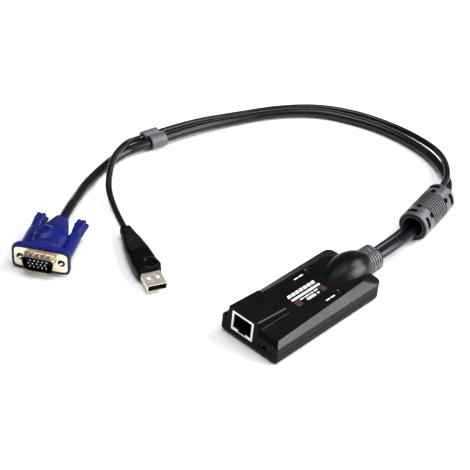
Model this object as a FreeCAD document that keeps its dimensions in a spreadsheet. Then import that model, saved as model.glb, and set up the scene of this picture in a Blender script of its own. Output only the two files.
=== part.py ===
"""Console adapter: a moulded case with a network socket, and two cords that end in a video
plug and a USB plug.  Millimetres.  The origin is on the surface that the case stands on, under
the middle of the case, with the socket facing -Y, the cords leaving towards +Y and +Z up."""
import FreeCAD, Part
import math
import os
import Sketcher
from FreeCAD import Placement, Rotation, Vector

doc = FreeCAD.newDocument("ConsoleAdapter")

# ---------------------------------------------------------------- sizes

SIZES = {
    # case
    "case_width": 42.0,
    "case_length": 91.6,
    "seam_height": 6.0,
    "ridge_height": 11.8,
    "lid_height": 14.4,
    "wall": 2.0,
    "floor_thick": 1.6,
    "rear_corner": 5.0,
    "rear_corner_top": 8.0,
    "base_round": 2.5,
    "front_slope": 3.3,
    "side_slope_front": 3.1,
    "side_slope_rear": 6.3,
    "rear_slope": 5.6,
    "roof_inset": 5.8,
    "roof_margin": 1.0,
    "pry_length": 8.0,
    "pry_height": 0.8,
    "pry_depth": 0.9,
    "pry_from_front": 26.2,
    # hood over the cord exit
    "hood_overhang": 6.6,
    "hood_start": 26.1,
    "hood_peak": 12.7,
    "hood_peak_radius": 12.3,
    "hood_mouth_radius": 8.6,
    "cord_axis_height": 8.8,
    "neck_radius": 5.6,
    "hood_bore_radius": 7.2,
    "hood_bore_length": 14.0,
    # network jack and the block that covers it
    "jack_centre": -6.0,
    "jack_width": 16.0,
    "jack_height": 13.2,
    "jack_depth": 18.0,
    "jack_rim": 1.3,
    "jack_wall": 0.35,
    "jack_latch_width": 5.6,
    "jack_plug_depth": 12.4,
    "contact_pitch": 1.02,
    "contact_width": 0.5,
    "block_side": 2.65,
    "block_draft": 0.8,
    "block_front_height": 20.6,
    "block_rear_height": 18.6,
    "block_length": 23.9,
    "block_rear_slope": 2.8,
    "block_round": 0.9,
    # circuit board and what stands on it
    "board_top": 5.2,
    "board_thick": 1.6,
    "board_gap": 0.6,
    "board_front": 4.0,
    "board_length": 66.0,
    "post_radius": 2.4,
    "chip_side": 12.0,
    "chip_height": 1.4,
    "transformer_width": 9.0,
    "transformer_length": 12.0,
    "transformer_height": 5.2,
    # recovery switch in the front wall
    "switch_centre": 9.8,
    "switch_width": 8.6,
    "switch_height": 3.3,
    "switch_depth": 3.6,
    "switch_travel": 2.0,
    "nub_width": 1.5,
    "nub_height": 1.4,
    "window_width": 5.1,
    "window_height": 2.5,
    # indicator lights
    "light_spread": 12.5,
    "light_from_rear": 28.85,
    "light_hole_radius": 1.8,
    "light_chamfer": 0.5,
    "pipe_flange_radius": 2.5,
    "pipe_flange_thick": 1.0,
    "pipe_stem_radius": 1.4,
    "led_height": 0.8,
    "fit_gap": 0.1,
    # strain relief
    "relief_width": 16.0,
    "relief_height": 14.8,
    "relief_round": 6.0,
    "relief_length": 10.3,
    "relief_slot": 1.0,
    "relief_pitch": 1.9,
    "relief_slot_depth": 1.5,
    "relief_first_slot": 0.9,
    "relief_bridge": 3.0,
    # cords, the choke and the band on them
    "video_cord_diameter": 6.0,
    "usb_cord_diameter": 4.0,
    "choke_radius": 9.7,
    "choke_length": 38.5,
    "choke_round": 1.6,
    "choke_core_radius": 8.4,
    "choke_core_length": 29.0,
    "choke_core_hole": 7.4,
    "choke_wall_gap": 0.1,
    "choke_bore_radius": 6.6,
    "choke_recess_radius": 8.0,
    "choke_recess_depth": 1.2,
    "choke_groove_width": 1.7,
    "choke_groove_pitch": 4.0,
    "choke_groove_depth": 0.5,
    "band_length": 11.0,
    "band_video_wall": 1.7,
    "band_usb_wall": 1.9,
    "band_spacing": 8.0,
    "band_share": 0.773,
    "band_gap": 0.15,
    # video plug
    "flange_width": 35.2,
    "flange_height": 16.6,
    "flange_round": 3.0,
    "flange_depth": 3.0,
    "step_depth": 2.6,
    "step_inset": 0.7,
    "plate_width": 32.4,
    "plate_height": 13.0,
    "plate_round": 2.5,
    "plate_thick": 1.0,
    "dshell_width": 19.0,
    "dshell_height": 9.2,
    "dshell_round": 2.8,
    "dshell_taper": 1.4,
    "dshell_reach": 6.0,
    "dshell_wall": 0.5,
    "pin_pitch": 2.5,
    "pin_row": 2.2,
    "pin_radius": 0.4,
    "pin_reach": 5.2,
    "insulator_depth": 4.6,
    "insulator_face": 0.8,
    "hood_length": 39.0,
    "screw_spacing": 25.0,
    "screw_radius": 1.45,
    "screw_clearance": 0.08,
    "sleeve_radius": 3.8,
    "sleeve_length": 26.3,
    "head_radius": 4.3,
    "head_neck_radius": 3.5,
    "head_length": 12.4,
    "head_gap": 0.3,
    "flute_radius": 1.1,
    # USB plug
    "usb_shell_width": 12.0,
    "usb_shell_height": 4.5,
    "usb_shell_wall": 0.35,
    "usb_shell_reach": 11.8,
    "usb_shell_inside": 6.0,
    "usb_tongue_thick": 1.85,
    "usb_window": 2.2,
    "usb_grip_length": 44.2,
    "usb_grip_width": 15.8,
    "usb_grip_height": 8.6,
    "usb_tail_width": 7.0,
    "usb_rib_pitch": 3.6,
    "usb_rib_width": 1.9,
}

sheet = doc.addObject("Spreadsheet::Sheet", "Sizes")
for row, (name, number) in enumerate(SIZES.items(), start=1):
    sheet.set("A%d" % row, name)
    sheet.set("B%d" % row, str(number))
    sheet.setAlias("B%d" % row, name)
doc.recompute()


class Length:
    """A size with its value and the expression that ties it to the sheet."""

    def __init__(self, value, text):
        self.value = float(value)
        self.text = text

    def __add__(self, other):
        other = length(other)
        return Length(self.value + other.value, "(%s + %s)" % (self.text, other.text))

    def __sub__(self, other):
        other = length(other)
        return Length(self.value - other.value, "(%s - %s)" % (self.text, other.text))

    def __mul__(self, factor):
        return Length(self.value * factor, "(%s * %r)" % (self.text, float(factor)))

    def __truediv__(self, divisor):
        return Length(self.value / divisor, "(%s / %r)" % (self.text, float(divisor)))

    def __neg__(self):
        return Length(-self.value, "(0 - %s)" % self.text)

    def __radd__(self, other):
        return length(other) + self

    def __rsub__(self, other):
        return length(other) - self

    __rmul__ = __mul__


def length(number):
    """Any number as a Length."""
    if isinstance(number, Length):
        return number
    return Length(number, "(%r)" % float(number))


S = {name: Length(number, "Sizes." + name) for name, number in SIZES.items()}

FRONT = -(S["case_length"] + S["hood_overhang"]) / 2
REAR = FRONT + S["case_length"]
MOUTH = REAR + S["hood_overhang"]
HALF = S["case_width"] / 2


def bind(item, prop, amount):
    """Ties a property of an object to a Length."""
    item.setExpression(prop, length(amount).text)


# ---------------------------------------------------------------- sketch helpers

def fix_point(sketch, geometry, place, x, y):
    """Holds a point of the sketch at (x, y) from the sketch's origin."""
    for kind, amount in (("DistanceX", length(x)), ("DistanceY", length(y))):
        index = sketch.addConstraint(Sketcher.Constraint(kind, -1, 1, geometry, place, amount.value))
        bind(sketch, ".Constraints[%d]" % index, amount)


def fix_radius(sketch, geometry, radius):
    """Holds the radius of an arc or a circle."""
    index = sketch.addConstraint(Sketcher.Constraint("Radius", geometry, length(radius).value))
    bind(sketch, ".Constraints[%d]" % index, radius)


def circle(sketch, x, y, radius):
    """A circle, held by its centre and radius."""
    centre = Vector(length(x).value, length(y).value, 0)
    shape = Part.Circle(centre, Vector(0, 0, 1), length(radius).value)
    geometry = sketch.addGeometry(shape, False)
    fix_point(sketch, geometry, 3, x, y)
    fix_radius(sketch, geometry, radius)


def polygon(sketch, corners):
    """A closed outline.  A corner is (x, y), or (x, y, radius) where it is rounded."""
    points = [Vector(length(c[0]).value, length(c[1]).value, 0) for c in corners]
    count = len(corners)
    entry, leave, arcs = [], [], []
    for i, corner in enumerate(corners):
        if len(corner) == 2:
            entry.append(points[i])
            leave.append(points[i])
            arcs.append(None)
            continue
        before = (points[i - 1] - points[i]).normalize()
        after = (points[(i + 1) % count] - points[i]).normalize()
        radius = length(corner[2]).value
        half = before.getAngle(after) / 2
        reach = radius / math.tan(half)
        middle = points[i] + (before + after).normalize() * (radius / math.sin(half))
        entry.append(points[i] + before * reach)
        leave.append(points[i] + after * reach)
        near = middle + (points[i] - middle).normalize() * radius
        arcs.append(Part.Arc(entry[i], near, leave[i]))
    lines = [sketch.addGeometry(Part.LineSegment(leave[i], entry[(i + 1) % count]), False)
             for i in range(count)]
    for i, corner in enumerate(corners):
        incoming = lines[i - 1]
        outgoing = lines[i]
        if arcs[i] is None:
            sketch.addConstraint(Sketcher.Constraint("Coincident", incoming, 2, outgoing, 1))
            fix_point(sketch, outgoing, 1, corner[0], corner[1])
            continue
        arc = sketch.addGeometry(arcs[i], False)
        first, last = arc_ends(sketch, arc, entry[i])
        sketch.addConstraint(Sketcher.Constraint("Tangent", incoming, 2, arc, first))
        sketch.addConstraint(Sketcher.Constraint("Tangent", outgoing, 1, arc, last))
        fix_radius(sketch, arc, corner[2])
        tip = sketch.addGeometry(Part.Point(points[i]), True)
        sketch.addConstraint(Sketcher.Constraint("PointOnObject", tip, 1, incoming))
        sketch.addConstraint(Sketcher.Constraint("PointOnObject", tip, 1, outgoing))
        fix_point(sketch, tip, 1, corner[0], corner[1])


def arc_ends(sketch, arc, entry):
    """Which end of a sketched arc meets the entry point: sketches turn arcs anticlockwise."""
    start = sketch.Geometry[arc].StartPoint
    return (1, 2) if start.distanceToPoint(entry) < 1e-6 else (2, 1)


def rounded_rectangle(sketch, width, height, radius, x=0.0, y=0.0):
    """A rectangle about (x, y) with rounded corners."""
    left, right = length(x) - length(width) / 2, length(x) + length(width) / 2
    low, high = length(y) - length(height) / 2, length(y) + length(height) / 2
    polygon(sketch, [(left, low, radius), (right, low, radius), (right, high, radius),
                     (left, high, radius)])


def rectangle(sketch, left, right, low, high):
    """A sharp rectangle between two pairs of coordinates."""
    polygon(sketch, [(left, low), (right, low), (right, high), (left, high)])


# ---------------------------------------------------------------- body helper

class Piece:
    """A PartDesign body with short calls for the features that the pieces use."""

    def __init__(self, label):
        self.label = label
        self.body = doc.addObject("PartDesign::Body", label)
        self.body.Label = label
        self.count = 0

    def add(self, kind):
        self.count += 1
        return self.body.newObject(kind, "%s_%02d" % (self.label, self.count))

    def plane(self, role):
        for feature in self.body.Origin.OriginFeatures:
            if feature.Role == role:
                return feature
        raise ValueError("no such plane: " + role)

    def sketch(self, role, offset=0.0, height=0.0):
        """A sketch parallel to an origin plane.  height lifts its own origin."""
        sketch = self.add("Sketcher::SketchObject")
        sketch.AttachmentSupport = [(self.plane(role), "")]
        sketch.MapMode = "FlatFace"
        bind(sketch, "AttachmentOffset.Base.z", offset)
        bind(sketch, "AttachmentOffset.Base.y", height)
        return sketch

    def across(self, station, height=0.0):
        """A sketch in the XZ plane at y = station, whose normal points to -Y."""
        return self.sketch("XZ_Plane", -length(station), height)

    def pad(self, sketch, amount, back=False, middle=False):
        feature = self.add("PartDesign::Pad")
        return self.extrude(feature, sketch, amount, back, middle)

    def pocket(self, sketch, amount, back=False, middle=False):
        before = self.volume()
        feature = self.add("PartDesign::Pocket")
        self.extrude(feature, sketch, amount, back, middle)
        self.must_cut(before, feature)
        return feature

    def extrude(self, feature, sketch, amount, back, middle):
        feature.Profile = sketch
        feature.Reversed = back
        feature.Midplane = middle
        bind(feature, "Length", amount)
        doc.recompute()
        return feature

    def revolve(self, sketch, axis="H_Axis"):
        feature = self.add("PartDesign::Revolution")
        return self.turn(feature, sketch, axis)

    def groove(self, sketch, axis="H_Axis"):
        before = self.volume()
        feature = self.add("PartDesign::Groove")
        self.turn(feature, sketch, axis)
        self.must_cut(before, feature)
        return feature

    def turn(self, feature, sketch, axis):
        feature.Profile = sketch
        feature.ReferenceAxis = (sketch, [axis])
        feature.Angle = 360
        doc.recompute()
        return feature

    def loft(self, sketches):
        feature = self.add("PartDesign::AdditiveLoft")
        feature.Profile = sketches[0]
        feature.Sections = sketches[1:]
        feature.Ruled = True
        doc.recompute()
        return feature

    def round(self, amount, wanted):
        """Fillets the edges for which wanted(edge) is true."""
        return self.dress("PartDesign::Fillet", "Radius", amount, wanted)

    def bevel(self, amount, wanted):
        """Chamfers the edges for which wanted(edge) is true."""
        return self.dress("PartDesign::Chamfer", "Size", amount, wanted)

    def dress(self, kind, prop, amount, wanted):
        base = self.body.Tip
        names = ["Edge%d" % (i + 1) for i, edge in enumerate(base.Shape.Edges) if wanted(edge)]
        if not names:
            raise ValueError("no edge to dress on " + self.label)
        feature = self.add(kind)
        feature.Base = (base, names)
        bind(feature, prop, amount)
        doc.recompute()
        return feature

    def pattern(self, feature, direction, amount, count):
        """Repeats a feature along an axis of the body's origin."""
        copies = self.add("PartDesign::LinearPattern")
        copies.Originals = [feature]
        copies.Direction = (self.plane(direction), [""])
        bind(copies, "Length", amount)
        copies.Occurrences = count
        self.body.Tip = copies
        doc.recompute()
        return copies

    def polar(self, feature, direction, count):
        """Repeats a feature round an axis of the body's origin."""
        copies = self.add("PartDesign::PolarPattern")
        copies.Originals = [feature]
        copies.Axis = (self.plane(direction), [""])
        copies.Angle = 360
        copies.Occurrences = count
        self.body.Tip = copies
        doc.recompute()
        return copies

    def volume(self):
        return self.body.Tip.Shape.Volume

    def must_cut(self, before, feature):
        if feature.Shape.isNull() or not feature.Shape.Volume < before - 1e-6:
            raise ValueError("%s cut nothing" % feature.Name)


pieces = []


def finish(item, label=None):
    """Keeps a finished object as a sub-part."""
    if label:
        item.Label = label
    pieces.append(item)


def level(edge, height, tolerance=1e-4):
    """True for an edge that lies wholly at one height."""
    box = edge.BoundBox
    return abs(box.ZMin - height) < tolerance and abs(box.ZMax - height) < tolerance


# ---------------------------------------------------------------- case

def case_outline(sketch, inset=0.0):
    """The case seen from above, square in front and rounded at the rear."""
    inset = length(inset)
    corner = S["rear_corner"] - inset
    polygon(sketch, [(-HALF + inset, FRONT + inset), (HALF - inset, FRONT + inset),
                     (HALF - inset, REAR - inset, corner), (-HALF + inset, REAR - inset, corner)])


def lid_outline(sketch):
    """The flat top of the lid, which narrows towards the rear."""
    front, rear = FRONT + S["front_slope"], REAR - S["rear_slope"]
    near, far = HALF - S["side_slope_front"], HALF - S["side_slope_rear"]
    corner = S["rear_corner_top"]
    polygon(sketch, [(-near, front), (near, front), (far, rear, corner), (-far, rear, corner)])


def hood_profile(sketch):
    """Half the section of the hood: two arcs that meet, level, at its widest place."""
    start, peak, mouth = REAR - S["hood_start"], REAR - S["hood_peak"] + S["hood_overhang"], MOUTH
    start_radius = S["lid_height"] - S["cord_axis_height"]
    places = [(start, start_radius), (peak, S["hood_peak_radius"]), (mouth, S["hood_mouth_radius"])]
    arcs = []
    for (y0, r0), (y1, r1), crest in ((places[0], places[1], 1), (places[1], places[2], 0)):
        low, high = (r0, r1) if crest else (r1, r0)
        run = abs(y1.value - y0.value)
        rise = high.value - low.value
        radius = (run * run + rise * rise) / (2 * rise)
        centre = Vector(peak.value, S["hood_peak_radius"].value - radius, 0)
        ends = [Vector(y.value, r.value, 0) for y, r in ((y0, r0), (y1, r1))]
        middle = centre + ((ends[0] - centre).normalize() + (ends[1] - centre).normalize()
                           ).normalize() * radius
        arcs.append(sketch.addGeometry(Part.Arc(ends[0], middle, ends[1]), False))
        index = sketch.addConstraint(Sketcher.Constraint("DistanceX", -1, 1, arcs[-1], 3,
                                                         peak.value))
        bind(sketch, ".Constraints[%d]" % index, peak)
    corners = [Vector(start.value, start_radius.value, 0), Vector(start.value, 0, 0),
               Vector(mouth.value, 0, 0), Vector(mouth.value, S["hood_mouth_radius"].value, 0)]
    lines = [sketch.addGeometry(Part.LineSegment(a, b), False)
             for a, b in zip(corners, corners[1:])]
    for one, other in ((lines[0], lines[1]), (lines[1], lines[2])):
        sketch.addConstraint(Sketcher.Constraint("Coincident", one, 2, other, 1))
    sketch.addConstraint(Sketcher.Constraint("Coincident", arcs[0], 2, lines[0], 1))
    sketch.addConstraint(Sketcher.Constraint("Coincident", arcs[1], 1, lines[2], 2))
    fix_point(sketch, lines[0], 1, *places[0])
    fix_point(sketch, lines[0], 2, start, 0.0)
    fix_point(sketch, lines[2], 1, mouth, 0.0)
    fix_point(sketch, lines[2], 2, *places[2])
    sketch.addConstraint(Sketcher.Constraint("Coincident", arcs[0], 1, arcs[1], 2))
    fix_point(sketch, arcs[0], 1, *places[1])


def add_hood(piece):
    """The round hood that swells out of the case over the cord exit."""
    sketch = piece.sketch("YZ_Plane", 0.0, S["cord_axis_height"])
    hood_profile(sketch)
    piece.revolve(sketch)


def bore_hood(piece):
    """The hood's inside: a chamber for the strain relief's flange and a neck hole."""
    end_wall = MOUTH - S["wall"]
    for near, far, radius in ((end_wall - S["hood_bore_length"], end_wall, S["hood_bore_radius"]),
                              (end_wall, MOUTH, S["neck_radius"])):
        sketch = piece.sketch("YZ_Plane", 0.0, S["cord_axis_height"])
        rectangle(sketch, near, far, 0.0, radius)
        piece.groove(sketch)


def trim(piece, height, upwards):
    """Cuts away all that lies on one side of a level plane."""
    sketch = piece.sketch("XY_Plane", height)
    reach = S["case_width"] + S["case_length"]
    rectangle(sketch, -reach, reach, -reach, reach)
    piece.pocket(sketch, reach, back=upwards)


def make_bottom_cover():
    piece = Piece("bottom_cover")
    sketch = piece.sketch("XY_Plane")
    case_outline(sketch)
    piece.pad(sketch, S["seam_height"])
    piece.round(S["base_round"], lambda edge: level(edge, 0.0))
    add_hood(piece)
    trim(piece, 0.0, False)
    trim(piece, S["seam_height"], True)
    sketch = piece.sketch("XY_Plane", S["floor_thick"])
    case_outline(sketch, S["wall"])
    piece.pocket(sketch, S["seam_height"], back=True)
    bore_hood(piece)
    sketch = piece.sketch("XY_Plane", S["floor_thick"])
    for side in (-1, 1):
        for y in (board_edge("front") + 6.0, board_edge("rear") - 6.0):
            circle(sketch, side * (board_half() - 5.0), y, S["post_radius"])
    piece.pad(sketch, S["board_top"] - S["board_thick"] - S["floor_thick"])
    jack_notch(piece, S["board_top"] - S["fit_gap"], S["seam_height"])
    for side in (-1, 1):
        sketch = piece.sketch("YZ_Plane", side * HALF)
        low = S["seam_height"] - S["pry_height"] - 0.4
        near = FRONT + S["pry_from_front"]
        rectangle(sketch, near, near + S["pry_length"], low, low + S["pry_height"])
        piece.pocket(sketch, S["pry_depth"], back=side < 0)
    finish(piece.body)


def jack_notch(piece, low, high):
    """The way through the front wall for the network jack."""
    sketch = piece.across(FRONT)
    half = S["jack_width"] / 2 + S["fit_gap"]
    rectangle(sketch, S["jack_centre"] - half, S["jack_centre"] + half, low, high)
    piece.pocket(sketch, S["jack_depth"] + 1.0)


def board_half():
    return HALF - S["wall"] - S["board_gap"]


def board_edge(end):
    front = FRONT + S["board_front"]
    return front if end == "front" else front + S["board_length"]


def block_half(extra=0.0):
    return S["jack_width"] / 2 + S["block_side"] + extra


def make_top_cover():
    piece = Piece("top_cover")
    sketch = piece.sketch("XY_Plane", S["seam_height"])
    case_outline(sketch)
    piece.pad(sketch, S["ridge_height"] - S["seam_height"])
    ridge = piece.sketch("XY_Plane", S["ridge_height"])
    case_outline(ridge)
    top = piece.sketch("XY_Plane", S["lid_height"])
    lid_outline(top)
    piece.loft([ridge, top])
    add_block(piece)
    add_hood(piece)
    trim(piece, S["seam_height"], False)
    hollow_lid(piece)
    bore_hood(piece)
    jack_notch(piece, S["seam_height"], S["board_top"] + S["jack_height"] + S["fit_gap"])
    sketch = piece.across(FRONT)
    middle = S["switch_centre"]
    half = S["window_width"] / 2
    rectangle(sketch, middle - half, middle + half, S["seam_height"],
              S["seam_height"] + S["window_height"])
    piece.pocket(sketch, S["wall"] + 0.5)
    sketch = piece.sketch("XY_Plane", S["lid_height"])
    for side in (-1, 1):
        circle(sketch, side * S["light_spread"], REAR - S["light_from_rear"],
               S["light_hole_radius"])
    piece.pocket(sketch, S["lid_height"] - S["ridge_height"])
    radius = S["light_hole_radius"].value
    piece.bevel(S["light_chamfer"], lambda edge: level(edge, S["lid_height"].value)
                and edge.Curve.TypeId == "Part::GeomCircle" and abs(edge.Curve.Radius - radius) < 1e-4)
    finish(piece.body)


def add_block(piece):
    """The raised block over the jack: drafted sides, a top that ramps down and a sloped rear."""
    sketch = piece.across(FRONT)
    base, tip = S["ridge_height"], S["block_front_height"]
    wide, narrow = block_half(S["block_draft"]), block_half()
    middle = S["jack_centre"]
    polygon(sketch, [(middle - wide, base), (middle + wide, base), (middle + narrow, tip),
                     (middle - narrow, tip)])
    piece.pad(sketch, S["block_length"] + S["block_rear_slope"], back=True)
    sketch = piece.sketch("YZ_Plane", middle)
    crest = FRONT + S["block_length"]
    foot = crest + S["block_rear_slope"]
    polygon(sketch, [(FRONT - 1.0, tip + 3.0), (FRONT, tip), (crest, S["block_rear_height"]),
                     (foot, S["lid_height"]), (foot + 1.0, S["lid_height"]), (foot + 1.0, tip + 3.0)])
    piece.pocket(sketch, S["jack_width"] * 2.0, middle=True)

    def long_top(edge):
        box = edge.BoundBox
        sloped = box.ZMin > S["block_rear_height"].value - 0.01
        return sloped and box.YLength > S["block_length"].value - 0.5
    piece.round(S["block_round"], long_top)


def hollow_lid(piece):
    """The lid's inside, in two steps that follow its sloped sides."""
    sketch = piece.sketch("XY_Plane", S["seam_height"])
    case_outline(sketch, S["wall"])
    piece.pocket(sketch, S["ridge_height"] - S["roof_margin"] - S["seam_height"], back=True)
    sketch = piece.sketch("XY_Plane", S["seam_height"])
    inset = S["roof_inset"]
    rear = REAR - S["rear_slope"] - S["rear_corner_top"] - S["wall"]
    rectangle(sketch, -HALF + inset, HALF - inset, FRONT + S["wall"] + S["front_slope"], rear)
    piece.pocket(sketch, S["lid_height"] - S["wall"] - S["seam_height"], back=True)


# ---------------------------------------------------------------- inside the case

def make_board():
    piece = Piece("circuit_board")
    sketch = piece.sketch("XY_Plane", S["board_top"])
    rectangle(sketch, -board_half(), board_half(), board_edge("front"), board_edge("rear"))
    piece.pad(sketch, S["board_thick"], back=True)
    finish(piece.body)


def block_on_board(label, x, y, width, depth, height):
    """A plain component that stands on the circuit board."""
    piece = Piece(label)
    sketch = piece.sketch("XY_Plane", S["board_top"])
    rectangle(sketch, x - length(width) / 2, x + length(width) / 2, y - length(depth) / 2,
              y + length(depth) / 2)
    piece.pad(sketch, height)
    piece.bevel(0.3, lambda edge: level(edge, (S["board_top"] + height).value))
    finish(piece.body)


def make_jack():
    """The network jack: a folded metal shield round a black insert with eight contacts."""
    middle, low = S["jack_centre"], S["board_top"]
    high = low + S["jack_height"]
    half = S["jack_width"] / 2
    shield = Piece("jack_shield")
    sketch = shield.across(FRONT)
    rectangle(sketch, middle - half, middle + half, low, high)
    shield.pad(sketch, S["jack_depth"], back=True)
    wall = S["jack_wall"]
    sketch = shield.across(FRONT + S["jack_depth"])
    rectangle(sketch, middle - half + wall, middle + half - wall, low + wall, high - wall)
    shield.pocket(sketch, S["jack_depth"] - wall, back=True)
    sketch = shield.across(FRONT)
    jack_opening(sketch, 0.0)
    shield.pocket(sketch, wall * 3.0)
    finish(shield.body)

    insert = Piece("jack_insert")
    sketch = insert.across(FRONT + wall)
    rectangle(sketch, middle - half + wall, middle + half - wall, low + wall, high - wall)
    insert.pad(sketch, S["jack_depth"] - wall, back=True)
    sketch = insert.across(FRONT + wall)
    jack_opening(sketch, 0.4)
    insert.pocket(sketch, S["jack_plug_depth"])
    finish(insert.body)

    ceiling = high - S["jack_rim"] - 0.4
    front = FRONT + wall + 2.0
    profile = doc.addObject("Sketcher::SketchObject", "jack_contact_profile")
    profile.Placement = Placement(Vector(0, 0, 0), Rotation(Vector(1, 1, 1), 120))
    polygon(profile, [(front, ceiling), (front + 1.2, ceiling), (front + 8.2, ceiling - 2.6),
                      (front + 8.0, ceiling - 3.2)])
    row = doc.addObject("Part::Feature", "jack_contacts")
    doc.recompute()
    bars = []
    for i in range(8):
        x = middle.value + (i - 3.5) * S["contact_pitch"].value - S["contact_width"].value / 2
        face = Part.Face(profile.Shape.Wires[0])
        bar = face.extrude(Vector(S["contact_width"].value, 0, 0))
        bars.append(bar.translated(Vector(x, 0, 0)))
    row.Shape = Part.makeCompound(bars)
    finish(row)


def jack_opening(sketch, margin):
    """The plug's way in: a rectangle with the latch's notch through its lower edge."""
    middle, low = S["jack_centre"], S["board_top"]
    rim = S["jack_rim"] + margin
    half = S["jack_width"] / 2 - rim
    notch = S["jack_latch_width"] / 2
    high = low + S["jack_height"] - rim
    step = low + rim + 0.6
    bottom = low + S["jack_wall"] + 0.3
    polygon(sketch, [(middle - half, step), (middle - notch, step), (middle - notch, bottom),
                     (middle + notch, bottom), (middle + notch, step), (middle + half, step),
                     (middle + half, high), (middle - half, high)])


def make_switch():
    """The small slide switch: a body on the board and a nub in the window of the front wall."""
    middle, low = S["switch_centre"], S["board_top"]
    front = FRONT + S["board_front"]
    body = Piece("switch_body")
    sketch = body.sketch("XY_Plane", low)
    rectangle(sketch, middle - S["switch_width"] / 2, middle + S["switch_width"] / 2, front,
              front + S["switch_depth"])
    body.pad(sketch, S["switch_height"])
    sketch = body.across(front)
    slot = (S["nub_width"] + S["switch_travel"]) / 2 + S["fit_gap"]
    centre = low + S["switch_height"] / 2 + 0.2
    tall = S["nub_height"] / 2 + S["fit_gap"]
    rectangle(sketch, middle - slot, middle + slot, centre - tall, centre + tall)
    body.pocket(sketch, S["switch_depth"] - 0.6)
    finish(body.body)

    slider = Piece("switch_slider")
    sketch = slider.across(front + S["switch_depth"] - 0.9)
    left = middle - (S["nub_width"] + S["switch_travel"]) / 2
    rectangle(sketch, left, left + S["nub_width"], centre - S["nub_height"] / 2,
              centre + S["nub_height"] / 2)
    slider.pad(sketch, S["board_front"] + S["switch_depth"] - 0.9 - 0.4)
    finish(slider.body)


def make_lights():
    """Two light pipes under the lid and the chips that shine into them."""
    y = REAR - S["light_from_rear"]
    under = S["lid_height"] - S["wall"]
    for name, side in (("left", -1), ("right", 1)):
        pipe = Piece("light_pipe_" + name)
        bottom = S["board_top"] + S["led_height"] + 0.3
        for low, high, radius in ((bottom, under - S["pipe_flange_thick"], S["pipe_stem_radius"]),
                                  (under - S["pipe_flange_thick"], under, S["pipe_flange_radius"]),
                                  (under, S["lid_height"] - 0.6,
                                   S["light_hole_radius"] - S["fit_gap"])):
            sketch = pipe.sketch("XY_Plane", low)
            circle(sketch, side * S["light_spread"], y, radius)
            pipe.pad(sketch, high - low)
        finish(pipe.body)
    chips = doc.addObject("Part::Compound", "led_chips")
    blocks = []
    for name, side in (("left", -1), ("right", 1)):
        block = doc.addObject("Part::Box", "led_chip_" + name)
        bind(block, "Length", 3.2)
        bind(block, "Width", 1.6)
        bind(block, "Height", S["led_height"])
        bind(block, "Placement.Base.x", side * S["light_spread"] - 1.6)
        bind(block, "Placement.Base.y", y - 0.8)
        bind(block, "Placement.Base.z", S["board_top"])
        blocks.append(block)
    chips.Links = blocks
    finish(chips, "led_chips")


# ---------------------------------------------------------------- strain relief

def relief_section(sketch, inset=0.0):
    inset = length(inset)
    rounding = S["relief_round"] - inset
    rounded_rectangle(sketch, S["relief_width"] - inset * 2.0, S["relief_height"] - inset * 2.0,
                      rounding)


def make_strain_relief():
    """A slotted grommet: alternate slots are bridged at top and bottom, the rest at the sides."""
    piece = Piece("strain_relief")
    sketch = piece.across(MOUTH, S["cord_axis_height"])
    relief_section(sketch)
    piece.pad(sketch, S["relief_length"], back=True)
    end = (MOUTH + S["relief_length"]).value
    piece.bevel(0.8, lambda edge: abs(edge.BoundBox.YMin - end) < 1e-4)
    for slot in range(5):
        station = MOUTH + S["relief_first_slot"] + slot * S["relief_pitch"]
        sketch = piece.across(station, S["cord_axis_height"])
        rounded_rectangle(sketch, S["relief_width"] + 2.0, S["relief_height"] + 2.0,
                          S["relief_round"] + 1.0)
        relief_section(sketch, S["relief_slot_depth"])
        piece.pocket(sketch, S["relief_slot"])
        sketch = piece.across(station, S["cord_axis_height"])
        half = S["relief_bridge"] / 2
        if slot % 2 == 0:
            reach = S["relief_height"] / 2
            rectangle(sketch, -half, half, -reach, reach)
        else:
            reach = S["relief_width"] / 2
            rectangle(sketch, -reach, reach, -half * 0.8, half * 0.8)
        piece.pad(sketch, S["relief_slot"], back=True)
    for near, far, radius in ((MOUTH - S["wall"], MOUTH, S["neck_radius"]),
                              (MOUTH - S["wall"] - 2.4, MOUTH - S["wall"], S["hood_bore_radius"])):
        sketch = piece.across(near, S["cord_axis_height"])
        circle(sketch, 0.0, 0.0, radius - S["fit_gap"])
        piece.pad(sketch, far - near, back=True)
    finish(piece.body)


# ---------------------------------------------------------------- cords

VIDEO_ROUTE = [(1.8, 59.4, 8.8), (1.8, 75.0, 8.8), (-0.6, 98.0, 6.5), (-11.1, 149.3, 6.5),
               (-29.5, 166.9, 3.8), (-51.5, 176.6, 3.05), (-82.5, 176.0, 3.05),
               (-105.5, 168.6, 3.05), (-127.8, 156.3, 3.05), (-145.7, 131.8, 3.05),
               (-157.3, 103.5, 3.05), (-165.3, 77.8, 4.7), (-173.34, 38.5, 4.7),
               (-177.4, 21.5, 3.05), (-168.5, -14.5, 3.05), (-159.3, -31.3, 5.2),
               (-150.93, -46.02, 9.15), (-144.12, -58.25, 9.15)]

USB_ROUTE = [(-3.4, 59.4, 8.8), (-3.4, 75.0, 8.8), (-5.6, 97.0, 7.9), (-16.6, 151.2, 9.6),
             (-31.0, 166.1, 14.0), (-52.5, 183.6, 2.6), (-78.0, 185.8, 2.05),
             (-107.5, 178.4, 2.05), (-131.5, 163.8, 2.05), (-148.5, 141.0, 2.05),
             (-160.0, 115.5, 2.05), (-172.6, 82.0, 3.9), (-181.0, 41.0, 3.9),
             (-178.2, 31.0, 8.6), (-173.4, 20.6, 12.3), (-168.9, 7.1, 11.6),
             (-160.3, -4.0, 2.9), (-149.5, -12.8, 2.1), (-130.24, -25.24, 4.75),
             (-117.6, -31.136, 4.75)]

CHOKE_MIDDLE = Vector(-6.0, 118.0, 9.75)


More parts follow.
